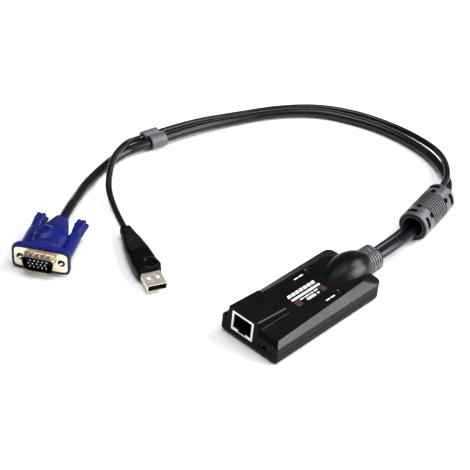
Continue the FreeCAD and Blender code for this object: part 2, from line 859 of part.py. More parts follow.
def cord_path(label, route):
    """Straight runs joined by tangent arcs.  Each arc takes 0.45 of its shorter run."""
    points = [Vector(*point) for point in route]
    runs = [(b - a).Length for a, b in zip(points, points[1:])]
    edges = []
    radii = []
    here = points[0]
    for i in range(1, len(points) - 1):
        into = (points[i] - points[i - 1]).normalize()
        out = (points[i + 1] - points[i]).normalize()
        reach = 0.45 * min(runs[i - 1], runs[i])
        half = into.getAngle(out) / 2
        radius = reach / math.tan(half)
        radii.append(radius)
        first = points[i] - into * reach
        last = points[i] + out * reach
        inward = (out - into).normalize()
        middle = points[i] + inward * (radius / math.cos(half) - radius)
        edges.append(Part.LineSegment(here, first).toShape())
        edges.append(Part.Arc(first, middle, last).toShape())
        here = last
    edges.append(Part.LineSegment(here, points[-1]).toShape())
    print(label, "radii", " ".join("%.0f" % radius for radius in radii))
    return Part.Wire(edges)


def make_cord(label, route, diameter):
    """A plain round tube along the route."""
    path = cord_path(label, route)
    start = Vector(*route[0])
    heading = Vector(*route[1]) - start
    section = Part.Wire([Part.Circle(start, heading, diameter / 2).toShape()])
    solid = path.makePipeShell([section], True, True)
    expected = math.pi * diameter ** 2 / 4 * path.Length
    print(label, "length %.1f" % path.Length, "volume ratio %.4f" % (solid.Volume / expected))
    if abs(solid.Volume / expected - 1) > 0.01:
        raise ValueError(label + " has the wrong volume")
    item = doc.addObject("Part::Feature", label)
    item.Shape = solid
    finish(item)


# ---------------------------------------------------------------- pieces on the cords

def make_choke():
    """A ferrite choke: a plain core sealed in a grooved jacket that both cords pass through."""
    heading = Vector(*VIDEO_ROUTE[3]) - Vector(*VIDEO_ROUTE[2])
    turn = math.degrees(math.atan2(heading.y, heading.x))
    place = Placement(CHOKE_MIDDLE, Rotation(Vector(0, 0, 1), turn))
    half = S["choke_length"] / 2
    outer = S["choke_radius"]
    jacket = Piece("choke_jacket")
    sketch = jacket.sketch("XY_Plane")
    slope = S["choke_round"]
    polygon(sketch, [(-half, S["choke_bore_radius"]), (half, S["choke_bore_radius"]),
                     (half, outer - slope), (half - slope, outer), (slope - half, outer),
                     (-half, outer - slope)])
    jacket.revolve(sketch)
    sketch = jacket.sketch("XY_Plane")
    for place_index in range(5):
        x = (place_index - 2) * S["choke_groove_pitch"]
        rectangle(sketch, x - S["choke_groove_width"] / 2, x + S["choke_groove_width"] / 2,
                  outer - S["choke_groove_depth"], outer + S["choke_groove_depth"])
    recess = half - S["choke_recess_depth"]
    rectangle(sketch, recess, half + 1.0, 0.0, S["choke_recess_radius"])
    rectangle(sketch, -half - 1.0, -recess, 0.0, S["choke_recess_radius"])
    reach = S["choke_core_length"] / 2
    gap = S["choke_wall_gap"]
    rectangle(sketch, -reach - gap, reach + gap, S["choke_core_hole"] - gap,
              S["choke_core_radius"] + gap)
    jacket.groove(sketch)
    jacket.body.Placement = place
    finish(jacket.body)

    core = Piece("choke_core")
    sketch = core.sketch("XY_Plane")
    rectangle(sketch, -reach, reach, S["choke_core_hole"], S["choke_core_radius"])
    core.revolve(sketch)
    core.body.Placement = place
    finish(core.body)


BAND_RUN = 11


def make_band():
    """A rubber sleeve with two lobes that holds the cords side by side."""
    near, far = Vector(*USB_ROUTE[BAND_RUN]), Vector(*USB_ROUTE[BAND_RUN + 1])
    heading = far - near
    middle = near + heading * S["band_share"].value
    turn = math.degrees(math.atan2(heading.y, heading.x))
    piece = Piece("cord_band")
    usb_radius, video_radius = S["usb_cord_diameter"] / 2, S["video_cord_diameter"] / 2
    rise = (video_radius + S["band_video_wall"]) - (usb_radius + S["band_usb_wall"])
    lobes = ((0.0, 0.0, usb_radius, S["band_usb_wall"]),
             (S["band_spacing"], rise, video_radius, S["band_video_wall"]))
    for y, z, radius, wall in lobes:
        sketch = piece.sketch("YZ_Plane")
        circle(sketch, y, z, radius + wall)
        piece.pad(sketch, S["band_length"], middle=True)
    for y, z, radius, wall in lobes:
        sketch = piece.sketch("YZ_Plane")
        circle(sketch, y, z, radius + S["band_gap"])
        piece.pocket(sketch, S["band_length"] + 2.0, middle=True)
    piece.body.Placement = Placement(middle, Rotation(Vector(0, 0, 1), turn))
    finish(piece.body)


# ---------------------------------------------------------------- video plug
# X points out of the plug, from the front of the plate.

VIDEO_PLACE = Placement(Vector(-125.16, -92.33, 9.15),
                        Rotation(Vector(0, 0, 1), -60.92) * Rotation(Vector(1, 0, 0), 3.3))


def dshape(sketch, grow=0.0):
    """The D outline: the upper side is the wide one."""
    grow = length(grow)
    top = S["dshell_width"] / 2 + grow
    low = top - S["dshell_taper"]
    high = S["dshell_height"] / 2 + grow
    corner = S["dshell_round"] + grow
    polygon(sketch, [(-low, -high, corner), (low, -high, corner), (top, high, corner),
                     (-top, high, corner)])


def screw_holes(piece, radius, station, amount):
    sketch = piece.sketch("YZ_Plane", station)
    for side in (-1, 1):
        circle(sketch, side * S["screw_spacing"] / 2, 0.0, radius)
    piece.pocket(sketch, amount)


def make_video_hood():
    """The plug's moulded hood: stepped flange, waisted body, ribbed tail and two sleeves."""
    piece = Piece("video_hood")
    sketch = piece.sketch("YZ_Plane", 0.2)
    rounded_rectangle(sketch, S["flange_width"], S["flange_height"], S["flange_round"])
    piece.pad(sketch, S["flange_depth"], back=True)
    back = 0.2 - S["flange_depth"]
    sketch = piece.sketch("YZ_Plane", back)
    inset = S["step_inset"]
    rounded_rectangle(sketch, S["flange_width"] - inset * 2.0, S["flange_height"] - inset * 2.0,
                      S["flange_round"] - inset)
    piece.pad(sketch, S["step_depth"], back=True)
    rear = back - S["step_depth"]
    stations = ((0.0, 20.4, 13.6, 5.0), (0.5, 19.0, 13.6, 5.5), (0.72, 13.6, 11.6, 5.0),
                (1.0, 8.6, 8.8, 3.9))
    sections = []
    body_length = S["hood_length"] + rear
    for share, width, height, rounding in stations:
        sketch = piece.sketch("YZ_Plane", rear - body_length * share)
        rounded_rectangle(sketch, width, height, rounding)
        sections.append(sketch)
    piece.loft(sections)
    for rib in range(5):
        share = 0.74 + 0.055 * rib
        blend = (share - 0.72) / 0.28
        sketch = piece.sketch("YZ_Plane", rear - body_length * share)
        rounded_rectangle(sketch, 14.4 - 5.0 * blend, 12.5 - 2.8 * blend, 4.9 - 0.9 * blend)
        piece.pad(sketch, 1.0, back=True)
    sleeve = piece.sketch("YZ_Plane", -S["sleeve_length"])
    for side in (-1, 1):
        circle(sleeve, side * S["screw_spacing"] / 2, 0.0, S["sleeve_radius"])
    piece.pad(sleeve, S["sleeve_length"] + rear)
    sketch = piece.sketch("YZ_Plane", 0.3)
    rounded_rectangle(sketch, S["plate_width"] + S["fit_gap"], S["plate_height"] + S["fit_gap"],
                      S["plate_round"])
    piece.pocket(sketch, S["plate_thick"] + 0.3)
    sketch = piece.sketch("YZ_Plane", 0.3)
    dshape(sketch, -S["dshell_wall"] + 0.1)
    piece.pocket(sketch, S["insulator_depth"] + 0.4)
    screw_holes(piece, S["screw_radius"] + S["screw_clearance"], 0.3, S["sleeve_length"] + 2.0)
    sketch = piece.sketch("XY_Plane", 0.0)
    circle(sketch, rear - body_length * 0.36, 0.0, 3.9)
    circle(sketch, rear - body_length * 0.36, 0.0, 3.0)
    piece.pocket(sketch, 7.0 - 0.55, back=True)
    piece.body.Placement = VIDEO_PLACE
    finish(piece.body)


def make_video_shell():
    """The plate and its D-shaped shell, with ground dimples."""
    piece = Piece("video_shell")
    sketch = piece.sketch("YZ_Plane")
    rounded_rectangle(sketch, S["plate_width"], S["plate_height"], S["plate_round"])
    piece.pad(sketch, S["plate_thick"], back=True)
    sketch = piece.sketch("YZ_Plane")
    dshape(sketch)
    piece.pad(sketch, S["dshell_reach"])
    sketch = piece.sketch("YZ_Plane", S["dshell_reach"])
    dshape(sketch, -S["dshell_wall"])
    piece.pocket(sketch, S["dshell_reach"] + S["plate_thick"] + 1.0)
    screw_holes(piece, S["screw_radius"] + 0.35, 0.5, S["plate_thick"] + 1.0)
    sketch = piece.sketch("XY_Plane", S["dshell_height"] / 2 - 0.2)
    for place in range(4):
        circle(sketch, S["dshell_reach"] * 0.45, (place - 1.5) * 3.4, 0.75)
    piece.pad(sketch, 0.5)
    piece.body.Placement = VIDEO_PLACE
    finish(piece.body)


def pin_places():
    """Three rows of five, the middle row half a pitch to one side."""
    for row, shift in ((1, 0.25), (0, -0.25), (-1, 0.25)):
        for column in range(5):
            yield (column - 2 + shift) * S["pin_pitch"], row * S["pin_row"]


def make_video_insulator():
    piece = Piece("video_insulator")
    sketch = piece.sketch("YZ_Plane", S["insulator_face"])
    dshape(sketch, -S["dshell_wall"] - 0.05)
    piece.pad(sketch, S["insulator_depth"] + S["insulator_face"], back=True)
    piece.body.Placement = VIDEO_PLACE
    finish(piece.body)


def make_video_pins():
    """Fifteen pins, padded together from one sketch."""
    sketch = doc.addObject("Sketcher::SketchObject", "video_pin_profile")
    start = S["insulator_face"]
    for y, z in pin_places():
        circle(sketch, y, z, S["pin_radius"])
    sketch.Placement = VIDEO_PLACE * Placement(Vector(start.value, 0, 0),
                                               Rotation(Vector(1, 1, 1), 120))
    pins = doc.addObject("Part::Extrusion", "video_pins")
    pins.Base = sketch
    pins.DirMode = "Normal"
    pins.Solid = True
    bind(pins, "LengthFwd", S["pin_reach"] - start)
    finish(pins, "video_pins")


def make_thumbscrews():
    """Each screw is a steel shank with a fluted plastic head."""
    for name, side in (("left", -1), ("right", 1)):
        centre = side * S["screw_spacing"] / 2
        place = VIDEO_PLACE * Placement(Vector(0, centre.value, 0), Rotation())
        shank = Piece("thumbscrew_shank_" + name)
        sketch = shank.sketch("YZ_Plane", 0.1)
        circle(sketch, 0.0, 0.0, S["screw_radius"])
        grip = 5.0
        shank.pad(sketch, S["sleeve_length"] + S["head_gap"] + grip + 0.1, back=True)
        shank.bevel(0.5, lambda edge: abs(edge.BoundBox.XMin - 0.1) < 1e-4)
        shank.body.Placement = place
        finish(shank.body)

        head = Piece("thumbscrew_head_" + name)
        near = -S["sleeve_length"] - S["head_gap"]
        far = near - S["head_length"]
        sketch = head.sketch("XY_Plane")
        polygon(sketch, [(near, 0.0), (near, S["head_neck_radius"]), (far, S["head_radius"]),
                         (far, 0.0)])
        head.revolve(sketch)
        sketch = head.sketch("YZ_Plane", far)
        circle(sketch, S["head_radius"] + 0.3, 0.0, S["flute_radius"])
        flute = head.pocket(sketch, S["head_length"] * 0.72, back=True)
        head.polar(flute, "X_Axis", 6)
        sketch = head.sketch("YZ_Plane", near)
        circle(sketch, 0.0, 0.0, S["screw_radius"])
        head.pocket(sketch, grip)
        head.body.Placement = place
        finish(head.body)


# ---------------------------------------------------------------- USB plug
# X points out of the plug, from the mouth of its shell.

USB_PLACE = Placement(Vector(-66.83, -54.81, 4.75),
                      Rotation(Vector(0, 0, 1), -25.0) * Rotation(Vector(1, 0, 0), 2.0))


def make_usb_shell():
    """A folded sleeve with two square windows in its upper and lower faces."""
    piece = Piece("usb_shell")
    sketch = piece.sketch("YZ_Plane")
    rounded_rectangle(sketch, S["usb_shell_width"], S["usb_shell_height"], 0.6)
    piece.pad(sketch, S["usb_shell_reach"] + S["usb_shell_inside"], back=True)
    sketch = piece.sketch("YZ_Plane")
    wall = S["usb_shell_wall"]
    rounded_rectangle(sketch, S["usb_shell_width"] - wall * 2.0, S["usb_shell_height"] - wall * 2.0,
                      0.25)
    piece.pocket(sketch, S["usb_shell_reach"] + S["usb_shell_inside"] + 1.0)
    sketch = piece.sketch("XY_Plane")
    half = S["usb_window"] / 2
    for side in (-1, 1):
        y = side * 2.7
        rectangle(sketch, -6.4 - half, -6.4 + half, y - half, y + half)
    piece.pocket(sketch, S["usb_shell_height"] * 2.0, middle=True)
    piece.body.Placement = USB_PLACE
    finish(piece.body)


def make_usb_tongue():
    """The insulating tongue and the four contacts on it."""
    inner = S["usb_shell_height"] / 2 - S["usb_shell_wall"]
    wide = S["usb_shell_width"] / 2 - S["usb_shell_wall"] - 0.3
    tongue = Piece("usb_tongue")
    sketch = tongue.sketch("XY_Plane", -inner)
    start = -S["usb_shell_reach"] - S["usb_shell_inside"]
    rectangle(sketch, start, -1.0, -wide, wide)
    tongue.pad(sketch, S["usb_tongue_thick"])
    sketch = tongue.sketch("XY_Plane", -inner + S["usb_tongue_thick"])
    rectangle(sketch, start, -S["usb_shell_reach"] + 0.4, -wide, wide)
    tongue.pad(sketch, inner * 2.0 - S["usb_tongue_thick"])
    tongue.body.Placement = USB_PLACE
    finish(tongue.body)

    strips = doc.addObject("Sketcher::SketchObject", "usb_contact_profile")
    for y, near in ((-3.5, -1.6), (-1.0, -2.4), (1.0, -2.4), (3.5, -1.6)):
        rectangle(strips, -10.4, near, y - 0.5, y + 0.5)
    top = -inner + S["usb_tongue_thick"]
    strips.Placement = USB_PLACE * Placement(Vector(0, 0, top.value), Rotation())
    contacts = doc.addObject("Part::Extrusion", "usb_contacts")
    contacts.Base = strips
    contacts.DirMode = "Normal"
    contacts.Solid = True
    bind(contacts, "LengthFwd", 0.15)
    finish(contacts, "usb_contacts")


def make_usb_grip():
    """The moulded grip: it swells to two ears by the shell and tapers to a ribbed tail."""
    piece = Piece("usb_grip")
    front = -S["usb_shell_reach"]
    wide, tall, tail = S["usb_grip_width"], S["usb_grip_height"], S["usb_tail_width"]
    stations = ((0.0, wide - 2.0, tall - 0.8, 2.0), (0.12, wide, tall, 2.6),
                (0.38, wide - 0.2, tall, 2.8), (0.62, wide - 1.6, tall - 0.4, 2.8),
                (0.8, wide - 4.6, tall - 1.0, 2.8), (1.0, tail, tail - 0.4, 2.7))
    sections = []
    for share, width, height, rounding in stations:
        sketch = piece.sketch("YZ_Plane", front - S["usb_grip_length"] * share)
        rounded_rectangle(sketch, width, height, rounding)
        sections.append(sketch)
    piece.loft(sections)
    for rib in range(5):
        station = front - S["usb_grip_length"] + 0.8 + rib * S["usb_rib_pitch"]
        blend = rib / 4
        sketch = piece.sketch("YZ_Plane", station)
        rounded_rectangle(sketch, tail + 1.1 + 6.2 * blend, tail + 0.2 + 1.6 * blend, 2.7)
        piece.pad(sketch, S["usb_rib_width"])
    sketch = piece.sketch("XY_Plane")
    circle(sketch, front - 7.0, 0.8, 3.6)
    piece.pocket(sketch, S["usb_grip_height"] / 2 - 0.5, back=True)
    sketch = piece.sketch("XY_Plane")
    circle(sketch, front - 7.0, 0.8, 2.8)
    piece.pad(sketch, S["usb_grip_height"] / 2 - 0.3)
    sketch = piece.sketch("YZ_Plane", front)
    rounded_rectangle(sketch, S["usb_shell_width"], S["usb_shell_height"], 0.6)
    piece.pocket(sketch, S["usb_shell_inside"])
    piece.body.Placement = USB_PLACE
    finish(piece.body)


# ---------------------------------------------------------------- build

make_bottom_cover()
make_top_cover()
make_board()
make_jack()
make_switch()
make_lights()
block_on_board("main_chip", 2.0, board_edge("rear") - 20.0, S["chip_side"], S["chip_side"],
               S["chip_height"])
block_on_board("signal_transformer", S["jack_centre"], FRONT + S["jack_depth"] + 10.0,
               S["transformer_length"], S["transformer_width"], S["transformer_height"])
make_strain_relief()
make_cord("video_cord", VIDEO_ROUTE, S["video_cord_diameter"].value)
make_cord("usb_cord", USB_ROUTE, S["usb_cord_diameter"].value)
make_choke()
make_band()
make_video_hood()
make_video_shell()
make_video_insulator()
make_video_pins()
make_thumbscrews()
make_usb_shell()
make_usb_tongue()
make_usb_grip()

doc.recompute()
for item in doc.Objects:
    if "Invalid" in item.State or "Error" in item.State:
        raise ValueError("%s is in state %s" % (item.Name, item.State))

os.makedirs("parts", exist_ok=True)
for item in pieces:
    if item.Shape.isNull() or not item.Shape.isValid():
        raise ValueError(item.Label + " has no valid shape")
    item.Shape.exportStep(os.path.join("parts", item.Label + ".step"))
    box = item.Shape.BoundBox
    print("%-24s %8.1f mm3  x %.1f..%.1f y %.1f..%.1f z %.2f..%.2f" % (
        item.Label, item.Shape.Volume, box.XMin, box.XMax, box.YMin, box.YMax, box.ZMin, box.ZMax))
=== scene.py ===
"""Looks for the console adapter: a small black case with a network socket, two cords through a
ferrite choke and a cord band, a blue video plug and a black USB plug.  Metres, in the CAD frame:
-Y out of the socket, +Y along the cords, +Z up."""
import math

import bmesh
import bpy
import numpy as np
from mathutils import Matrix


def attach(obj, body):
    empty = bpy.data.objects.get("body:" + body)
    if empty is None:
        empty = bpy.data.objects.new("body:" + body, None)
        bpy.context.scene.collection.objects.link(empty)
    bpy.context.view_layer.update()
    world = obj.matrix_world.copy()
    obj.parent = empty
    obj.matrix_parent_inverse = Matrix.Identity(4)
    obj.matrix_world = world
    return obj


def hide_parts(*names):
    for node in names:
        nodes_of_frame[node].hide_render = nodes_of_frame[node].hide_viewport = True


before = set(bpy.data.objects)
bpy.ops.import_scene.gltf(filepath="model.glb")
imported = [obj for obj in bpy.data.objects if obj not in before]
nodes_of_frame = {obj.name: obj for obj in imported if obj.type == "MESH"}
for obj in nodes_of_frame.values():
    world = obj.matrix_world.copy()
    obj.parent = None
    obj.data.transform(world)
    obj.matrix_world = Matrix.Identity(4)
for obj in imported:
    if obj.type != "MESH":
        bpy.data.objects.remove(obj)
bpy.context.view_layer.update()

MM = 0.001
scene = bpy.context.scene

# ---------------------------------------------------------------- camera


def make_camera():
    """A long lens that looks down on the adapter from beyond its right front corner."""
    data = bpy.data.cameras.new("camera")
    data.lens = 144.17
    data.sensor_width = 36.0
    data.clip_end = 10.0
    camera = bpy.data.objects.new("camera", data)
    right = (0.72620, 0.68189, 0.08747)
    up = (-0.46983, 0.39938, 0.78724)
    back = (0.50188, -0.61279, 0.61041)
    place = (0.494937, -0.675957, 0.693487)
    rows = [(right[i], up[i], back[i], place[i]) for i in range(3)]
    camera.matrix_world = Matrix(rows + [(0.0, 0.0, 0.0, 1.0)])
    scene.collection.objects.link(camera)
    scene.camera = camera


make_camera()

# ---------------------------------------------------------------- cords

VIDEO_DIAMETER = 6.0 * MM
USB_DIAMETER = 4.0 * MM

# Both routes are in millimetres: out of the strain relief, through the choke, down to the floor,
# back through the cord band and into a plug.
VIDEO_ROUTE = [(1.8, 59.4, 8.8), (1.8, 75.0, 8.8), (-0.6, 98.0, 6.5), (-11.1, 149.3, 6.5),
               (-29.5, 166.9, 3.8), (-51.5, 176.6, 3.05), (-82.5, 176.0, 3.05),
               (-105.5, 168.6, 3.05), (-127.8, 156.3, 3.05), (-145.7, 131.8, 3.05),
               (-157.3, 103.5, 3.05), (-165.3, 77.8, 4.7), (-173.34, 38.5, 4.7),
               (-177.4, 21.5, 3.05), (-168.5, -14.5, 3.05), (-159.3, -31.3, 5.2),
               (-150.93, -46.02, 9.15), (-144.12, -58.25, 9.15)]

USB_ROUTE = [(-3.4, 59.4, 8.8), (-3.4, 75.0, 8.8), (-5.6, 97.0, 7.9), (-16.6, 151.2, 9.6),
             (-23.9, 161.0, 12.2), (-36.5, 172.8, 9.6), (-53.0, 182.6, 4.7), (-78.0, 185.8, 2.05),
             (-107.5, 178.4, 2.05), (-131.5, 163.8, 2.05), (-148.5, 141.0, 2.05),
             (-160.0, 115.5, 2.05), (-172.6, 82.0, 3.9), (-181.0, 41.0, 3.9),
             (-178.2, 31.0, 8.6), (-173.4, 20.6, 12.3), (-168.9, 7.1, 11.6),
             (-157.3, -7.7, 6.6), (-148.5, -14.0, 3.3), (-130.24, -25.24, 4.75),
             (-117.6, -31.136, 4.75)]


def make_cord(name, route, diameter):
    """A round cord on one smooth curve, whose control points are the route's.  The points'
    radii carry the thickness, so the curve's box is the cord's own."""
    curve = bpy.data.curves.new(name, "CURVE")
    curve.dimensions = "3D"
    spline = curve.splines.new("NURBS")
    spline.points.add(len(route) - 1)
    for point, place in zip(spline.points, route):
        point.co = tuple(value * MM for value in place) + (1.0,)
        point.radius = diameter / 2
    spline.order_u = 3
    spline.use_endpoint_u = True
    spline.resolution_u = 16
    curve.bevel_depth = 1.0
    curve.bevel_resolution = 6
    cord = bpy.data.objects.new(name, curve)
    scene.collection.objects.link(cord)
    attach(cord, "adapter")
    return cord


video_cord = make_cord("video_cord_line", VIDEO_ROUTE, VIDEO_DIAMETER)
usb_cord = make_cord("usb_cord_line", USB_ROUTE, USB_DIAMETER)
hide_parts("video_cord")
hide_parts("usb_cord")

# ---------------------------------------------------------------- shader tools


def link(tree, source, target):
    """Joins two sockets of one node tree."""
    tree.links.new(source, target)


def grain_group():
    """Fine moulded grain: the normal, softened within Edge of an edge, is bumped by a noise of
    the given Scale, by Depth times Size."""
    group = bpy.data.node_groups.new("grain", "ShaderNodeTree")
    face = group.interface
    face.new_socket("Vector", in_out="INPUT", socket_type="NodeSocketVector")
    for name in ("Scale", "Depth", "Size", "Edge"):
        face.new_socket(name, in_out="INPUT", socket_type="NodeSocketFloat")
    face.new_socket("Normal", in_out="OUTPUT", socket_type="NodeSocketVector")
    start = group.nodes.new("NodeGroupInput")
    end = group.nodes.new("NodeGroupOutput")
    noise = group.nodes.new("ShaderNodeTexNoise")
    noise.inputs["Detail"].default_value = 3.0
    bump = group.nodes.new("ShaderNodeBump")
    bevel = group.nodes.new("ShaderNodeBevel")
    bevel.samples = 6
    link(group, start.outputs["Edge"], bevel.inputs["Radius"])
    link(group, bevel.outputs["Normal"], bump.inputs["Normal"])
    link(group, start.outputs["Vector"], noise.inputs["Vector"])
    link(group, start.outputs["Scale"], noise.inputs["Scale"])
    link(group, noise.outputs["Fac"], bump.inputs["Height"])
    link(group, start.outputs["Depth"], bump.inputs["Strength"])
    link(group, start.outputs["Size"], bump.inputs["Distance"])
    link(group, bump.outputs["Normal"], end.inputs["Normal"])
    return group


def mottle_group():
    """Slow variation between two colours and two roughnesses, like handled plastic or metal."""
    group = bpy.data.node_groups.new("mottle", "ShaderNodeTree")
    face = group.interface
    face.new_socket("Vector", in_out="INPUT", socket_type="NodeSocketVector")
    face.new_socket("Scale", in_out="INPUT", socket_type="NodeSocketFloat")
    for name in ("Dark", "Light"):
        face.new_socket(name, in_out="INPUT", socket_type="NodeSocketColor")
    for name in ("Smooth", "Rough"):
        face.new_socket(name, in_out="INPUT", socket_type="NodeSocketFloat")
    face.new_socket("Colour", in_out="OUTPUT", socket_type="NodeSocketColor")
    face.new_socket("Roughness", in_out="OUTPUT", socket_type="NodeSocketFloat")
    start = group.nodes.new("NodeGroupInput")
    end = group.nodes.new("NodeGroupOutput")
    noise = group.nodes.new("ShaderNodeTexNoise")
    noise.inputs["Detail"].default_value = 4.0
    ramp = group.nodes.new("ShaderNodeMapRange")
    ramp.inputs["From Min"].default_value = 0.35
    ramp.inputs["From Max"].default_value = 0.65
    mix = group.nodes.new("ShaderNodeMix")
    mix.data_type = "RGBA"
    blend = group.nodes.new("ShaderNodeMix")
    link(group, start.outputs["Vector"], noise.inputs["Vector"])
    link(group, start.outputs["Scale"], noise.inputs["Scale"])
    link(group, noise.outputs["Fac"], ramp.inputs["Value"])
    link(group, ramp.outputs["Result"], mix.inputs["Factor"])
    link(group, start.outputs["Dark"], mix.inputs["A"])
    link(group, start.outputs["Light"], mix.inputs["B"])
    link(group, ramp.outputs["Result"], blend.inputs["Factor"])
    link(group, start.outputs["Smooth"], blend.inputs["A"])
    link(group, start.outputs["Rough"], blend.inputs["B"])
    link(group, mix.outputs["Result"], end.inputs["Colour"])
    link(group, blend.outputs["Result"], end.inputs["Roughness"])
    return group


GRAIN = grain_group()
MOTTLE = mottle_group()
GRAIN_HEIGHT = 0.02 * MM


def shade(colour, factor):
    """The colour times factor, no channel above 1, with an alpha of 1."""
    return tuple(min(1.0, channel * factor) for channel in colour[:3]) + (1.0,)


class Look:
    """A Principled material with mottled colour and roughness and a fine grain.  The colour
    varies by the share spread and the roughness by rough_spread, in patches of scale mottle.
    grain and depth are the grain's scale and strength, and edge is how far, in metres, the
    normal is softened at edges."""

    def __init__(self, name, colour, roughness, metallic=0.0, spread=0.12, rough_spread=0.06,
                 mottle=90.0, grain=2500.0, depth=0.25, specular=0.5, edge=0.0003):
        self.material = bpy.data.materials.new(name)
        self.material.use_nodes = True
        self.tree = self.material.node_tree
        self.shader = self.tree.nodes["Principled BSDF"]
        coords = self.tree.nodes.new("ShaderNodeTexCoord")
        self.where = coords.outputs["Object"]
        slow = self.tree.nodes.new("ShaderNodeGroup")
        slow.node_tree = MOTTLE
        slow.inputs["Scale"].default_value = mottle
        slow.inputs["Dark"].default_value = shade(colour, 1.0 - spread)
        slow.inputs["Light"].default_value = shade(colour, 1.0 + spread)
        slow.inputs["Smooth"].default_value = roughness - rough_spread
        slow.inputs["Rough"].default_value = roughness + rough_spread
        fine = self.tree.nodes.new("ShaderNodeGroup")
        fine.node_tree = GRAIN
        fine.inputs["Scale"].default_value = grain
        fine.inputs["Depth"].default_value = depth
        fine.inputs["Size"].default_value = GRAIN_HEIGHT
        fine.inputs["Edge"].default_value = edge
        self.slow, self.fine = slow, fine
        link(self.tree, self.where, slow.inputs["Vector"])
        link(self.tree, self.where, fine.inputs["Vector"])
        link(self.tree, slow.outputs["Colour"], self.shader.inputs["Base Color"])
        link(self.tree, slow.outputs["Roughness"], self.shader.inputs["Roughness"])
        link(self.tree, fine.outputs["Normal"], self.shader.inputs["Normal"])
        self.shader.inputs["Metallic"].default_value = metallic
        self.shader.inputs["Specular IOR Level"].default_value = specular

    def node(self, kind):
        """A new shader node in this material."""
        return self.tree.nodes.new(kind)

    def link(self, source, target):
        """Joins two sockets of this material."""
        link(self.tree, source, target)


case_look = Look("case_plastic", (0.004, 0.004, 0.005), 0.28, grain=5200.0, depth=0.3,
                 edge=0.0006, specular=0.40, spread=0.2, rough_spread=0.03, mottle=60.0)
relief_look = Look("relief_rubber", (0.11, 0.11, 0.12), 0.34, grain=3000.0, edge=0.0002)
cord_look = Look("cord_jacket", (0.005, 0.005, 0.008), 0.22, grain=1800.0, depth=0.08,
                 specular=0.24, rough_spread=0.03)
choke_look = Look("choke_plastic", (0.048, 0.046, 0.056), 0.36, grain=2600.0, depth=0.12,
                  edge=0.0, specular=0.9)
groove_shadow_look = Look("groove_shadow", (0.004, 0.004, 0.005), 0.5, specular=0.12, edge=0.0)
# Near-black as painted shade: in the choke's pits, in the USB plug's mouth, and on the video
# shell's lining and screw holes.
pit_shade_look = Look("pit_painted_shade", (0.001, 0.001, 0.001), 0.7, specular=0.05)
band_look = Look("band_rubber", (0.085, 0.085, 0.095), 0.45, grain=3000.0, edge=0.0008)
blue_look = Look("blue_plastic", (0.005, 0.009, 0.13), 0.36, spread=0.10, grain=3600.0, depth=0.3,
                 edge=0.0, specular=0.2)
black_look = Look("black_plastic", (0.004, 0.004, 0.005), 0.42, grain=3200.0, specular=0.3)
usb_look = Look("usb_grip_plastic", (0.002, 0.002, 0.002), 0.32, grain=3200.0, specular=0.07,
                edge=0.0)
plate_look = Look("pale_gold_plate", (0.84, 0.76, 0.59), 0.36, metallic=1.0, spread=0.06,
                  mottle=500.0)
nickel_look = Look("nickel_plate", (0.88, 0.80, 0.69), 0.40, metallic=1.0, spread=0.03,
                   rough_spread=0.03, mottle=300.0)
bright_look = Look("bright_nickel", (0.90, 0.88, 0.82), 0.3, metallic=1.0, spread=0.05,
                   mottle=400.0)
gold_look = Look("gold_contact", (0.83, 0.55, 0.22), 0.25, metallic=1.0, mottle=600.0)
copper_look = Look("copper_wash", (0.66, 0.48, 0.36), 0.36, metallic=1.0, mottle=600.0)
# Dark metal as painted shade: on the video shell's rim and on the screw tips.
rim_shade_look = Look("rim_painted_shade", (0.07, 0.06, 0.05), 0.35, metallic=0.8)
steel_look = Look("steel", (0.55, 0.53, 0.50), 0.28, metallic=1.0, mottle=500.0)
pin_look = Look("pin_steel", (0.75, 0.75, 0.80), 0.5, metallic=0.6, mottle=500.0)
navy_look = Look("insulator_navy", (0.004, 0.004, 0.02), 0.5, specular=0.2)
board_look = Look("board_green", (0.012, 0.11, 0.04), 0.45, mottle=200.0)
ferrite_look = Look("ferrite", (0.06, 0.06, 0.065), 0.6)
pipe_look = Look("light_pipe", (0.002, 0.002, 0.002), 0.4, specular=0.2)
chip_look = Look("chip_epoxy", (0.02, 0.02, 0.02), 0.5)
# White for the print, and for the painted highlights by the lights.
white_ink_and_highlight = Look("white_ink_and_highlight", (0.80, 0.80, 0.80), 0.5, spread=0.04)
red_ink = Look("red_brown_ink", (0.13, 0.035, 0.022), 0.5)
pad_look = Look("white_pad", (0.9, 0.9, 0.88), 0.5, spread=0.03)
seam_look = Look("seam_shadow", (0.10, 0.085, 0.07), 0.5, metallic=0.6)

SEAM = 6.0 * MM
SEAM_HALF = 0.22 * MM
DOME_INNER = 13.5 * MM
DOME_OUTER = 14.5 * MM
DOME_HOLD = 0.16
GLEAM_FROM = 0.05
GLEAM_TO = 0.30
CASE_DULL = 0.05
CASE_SHINY = 0.24


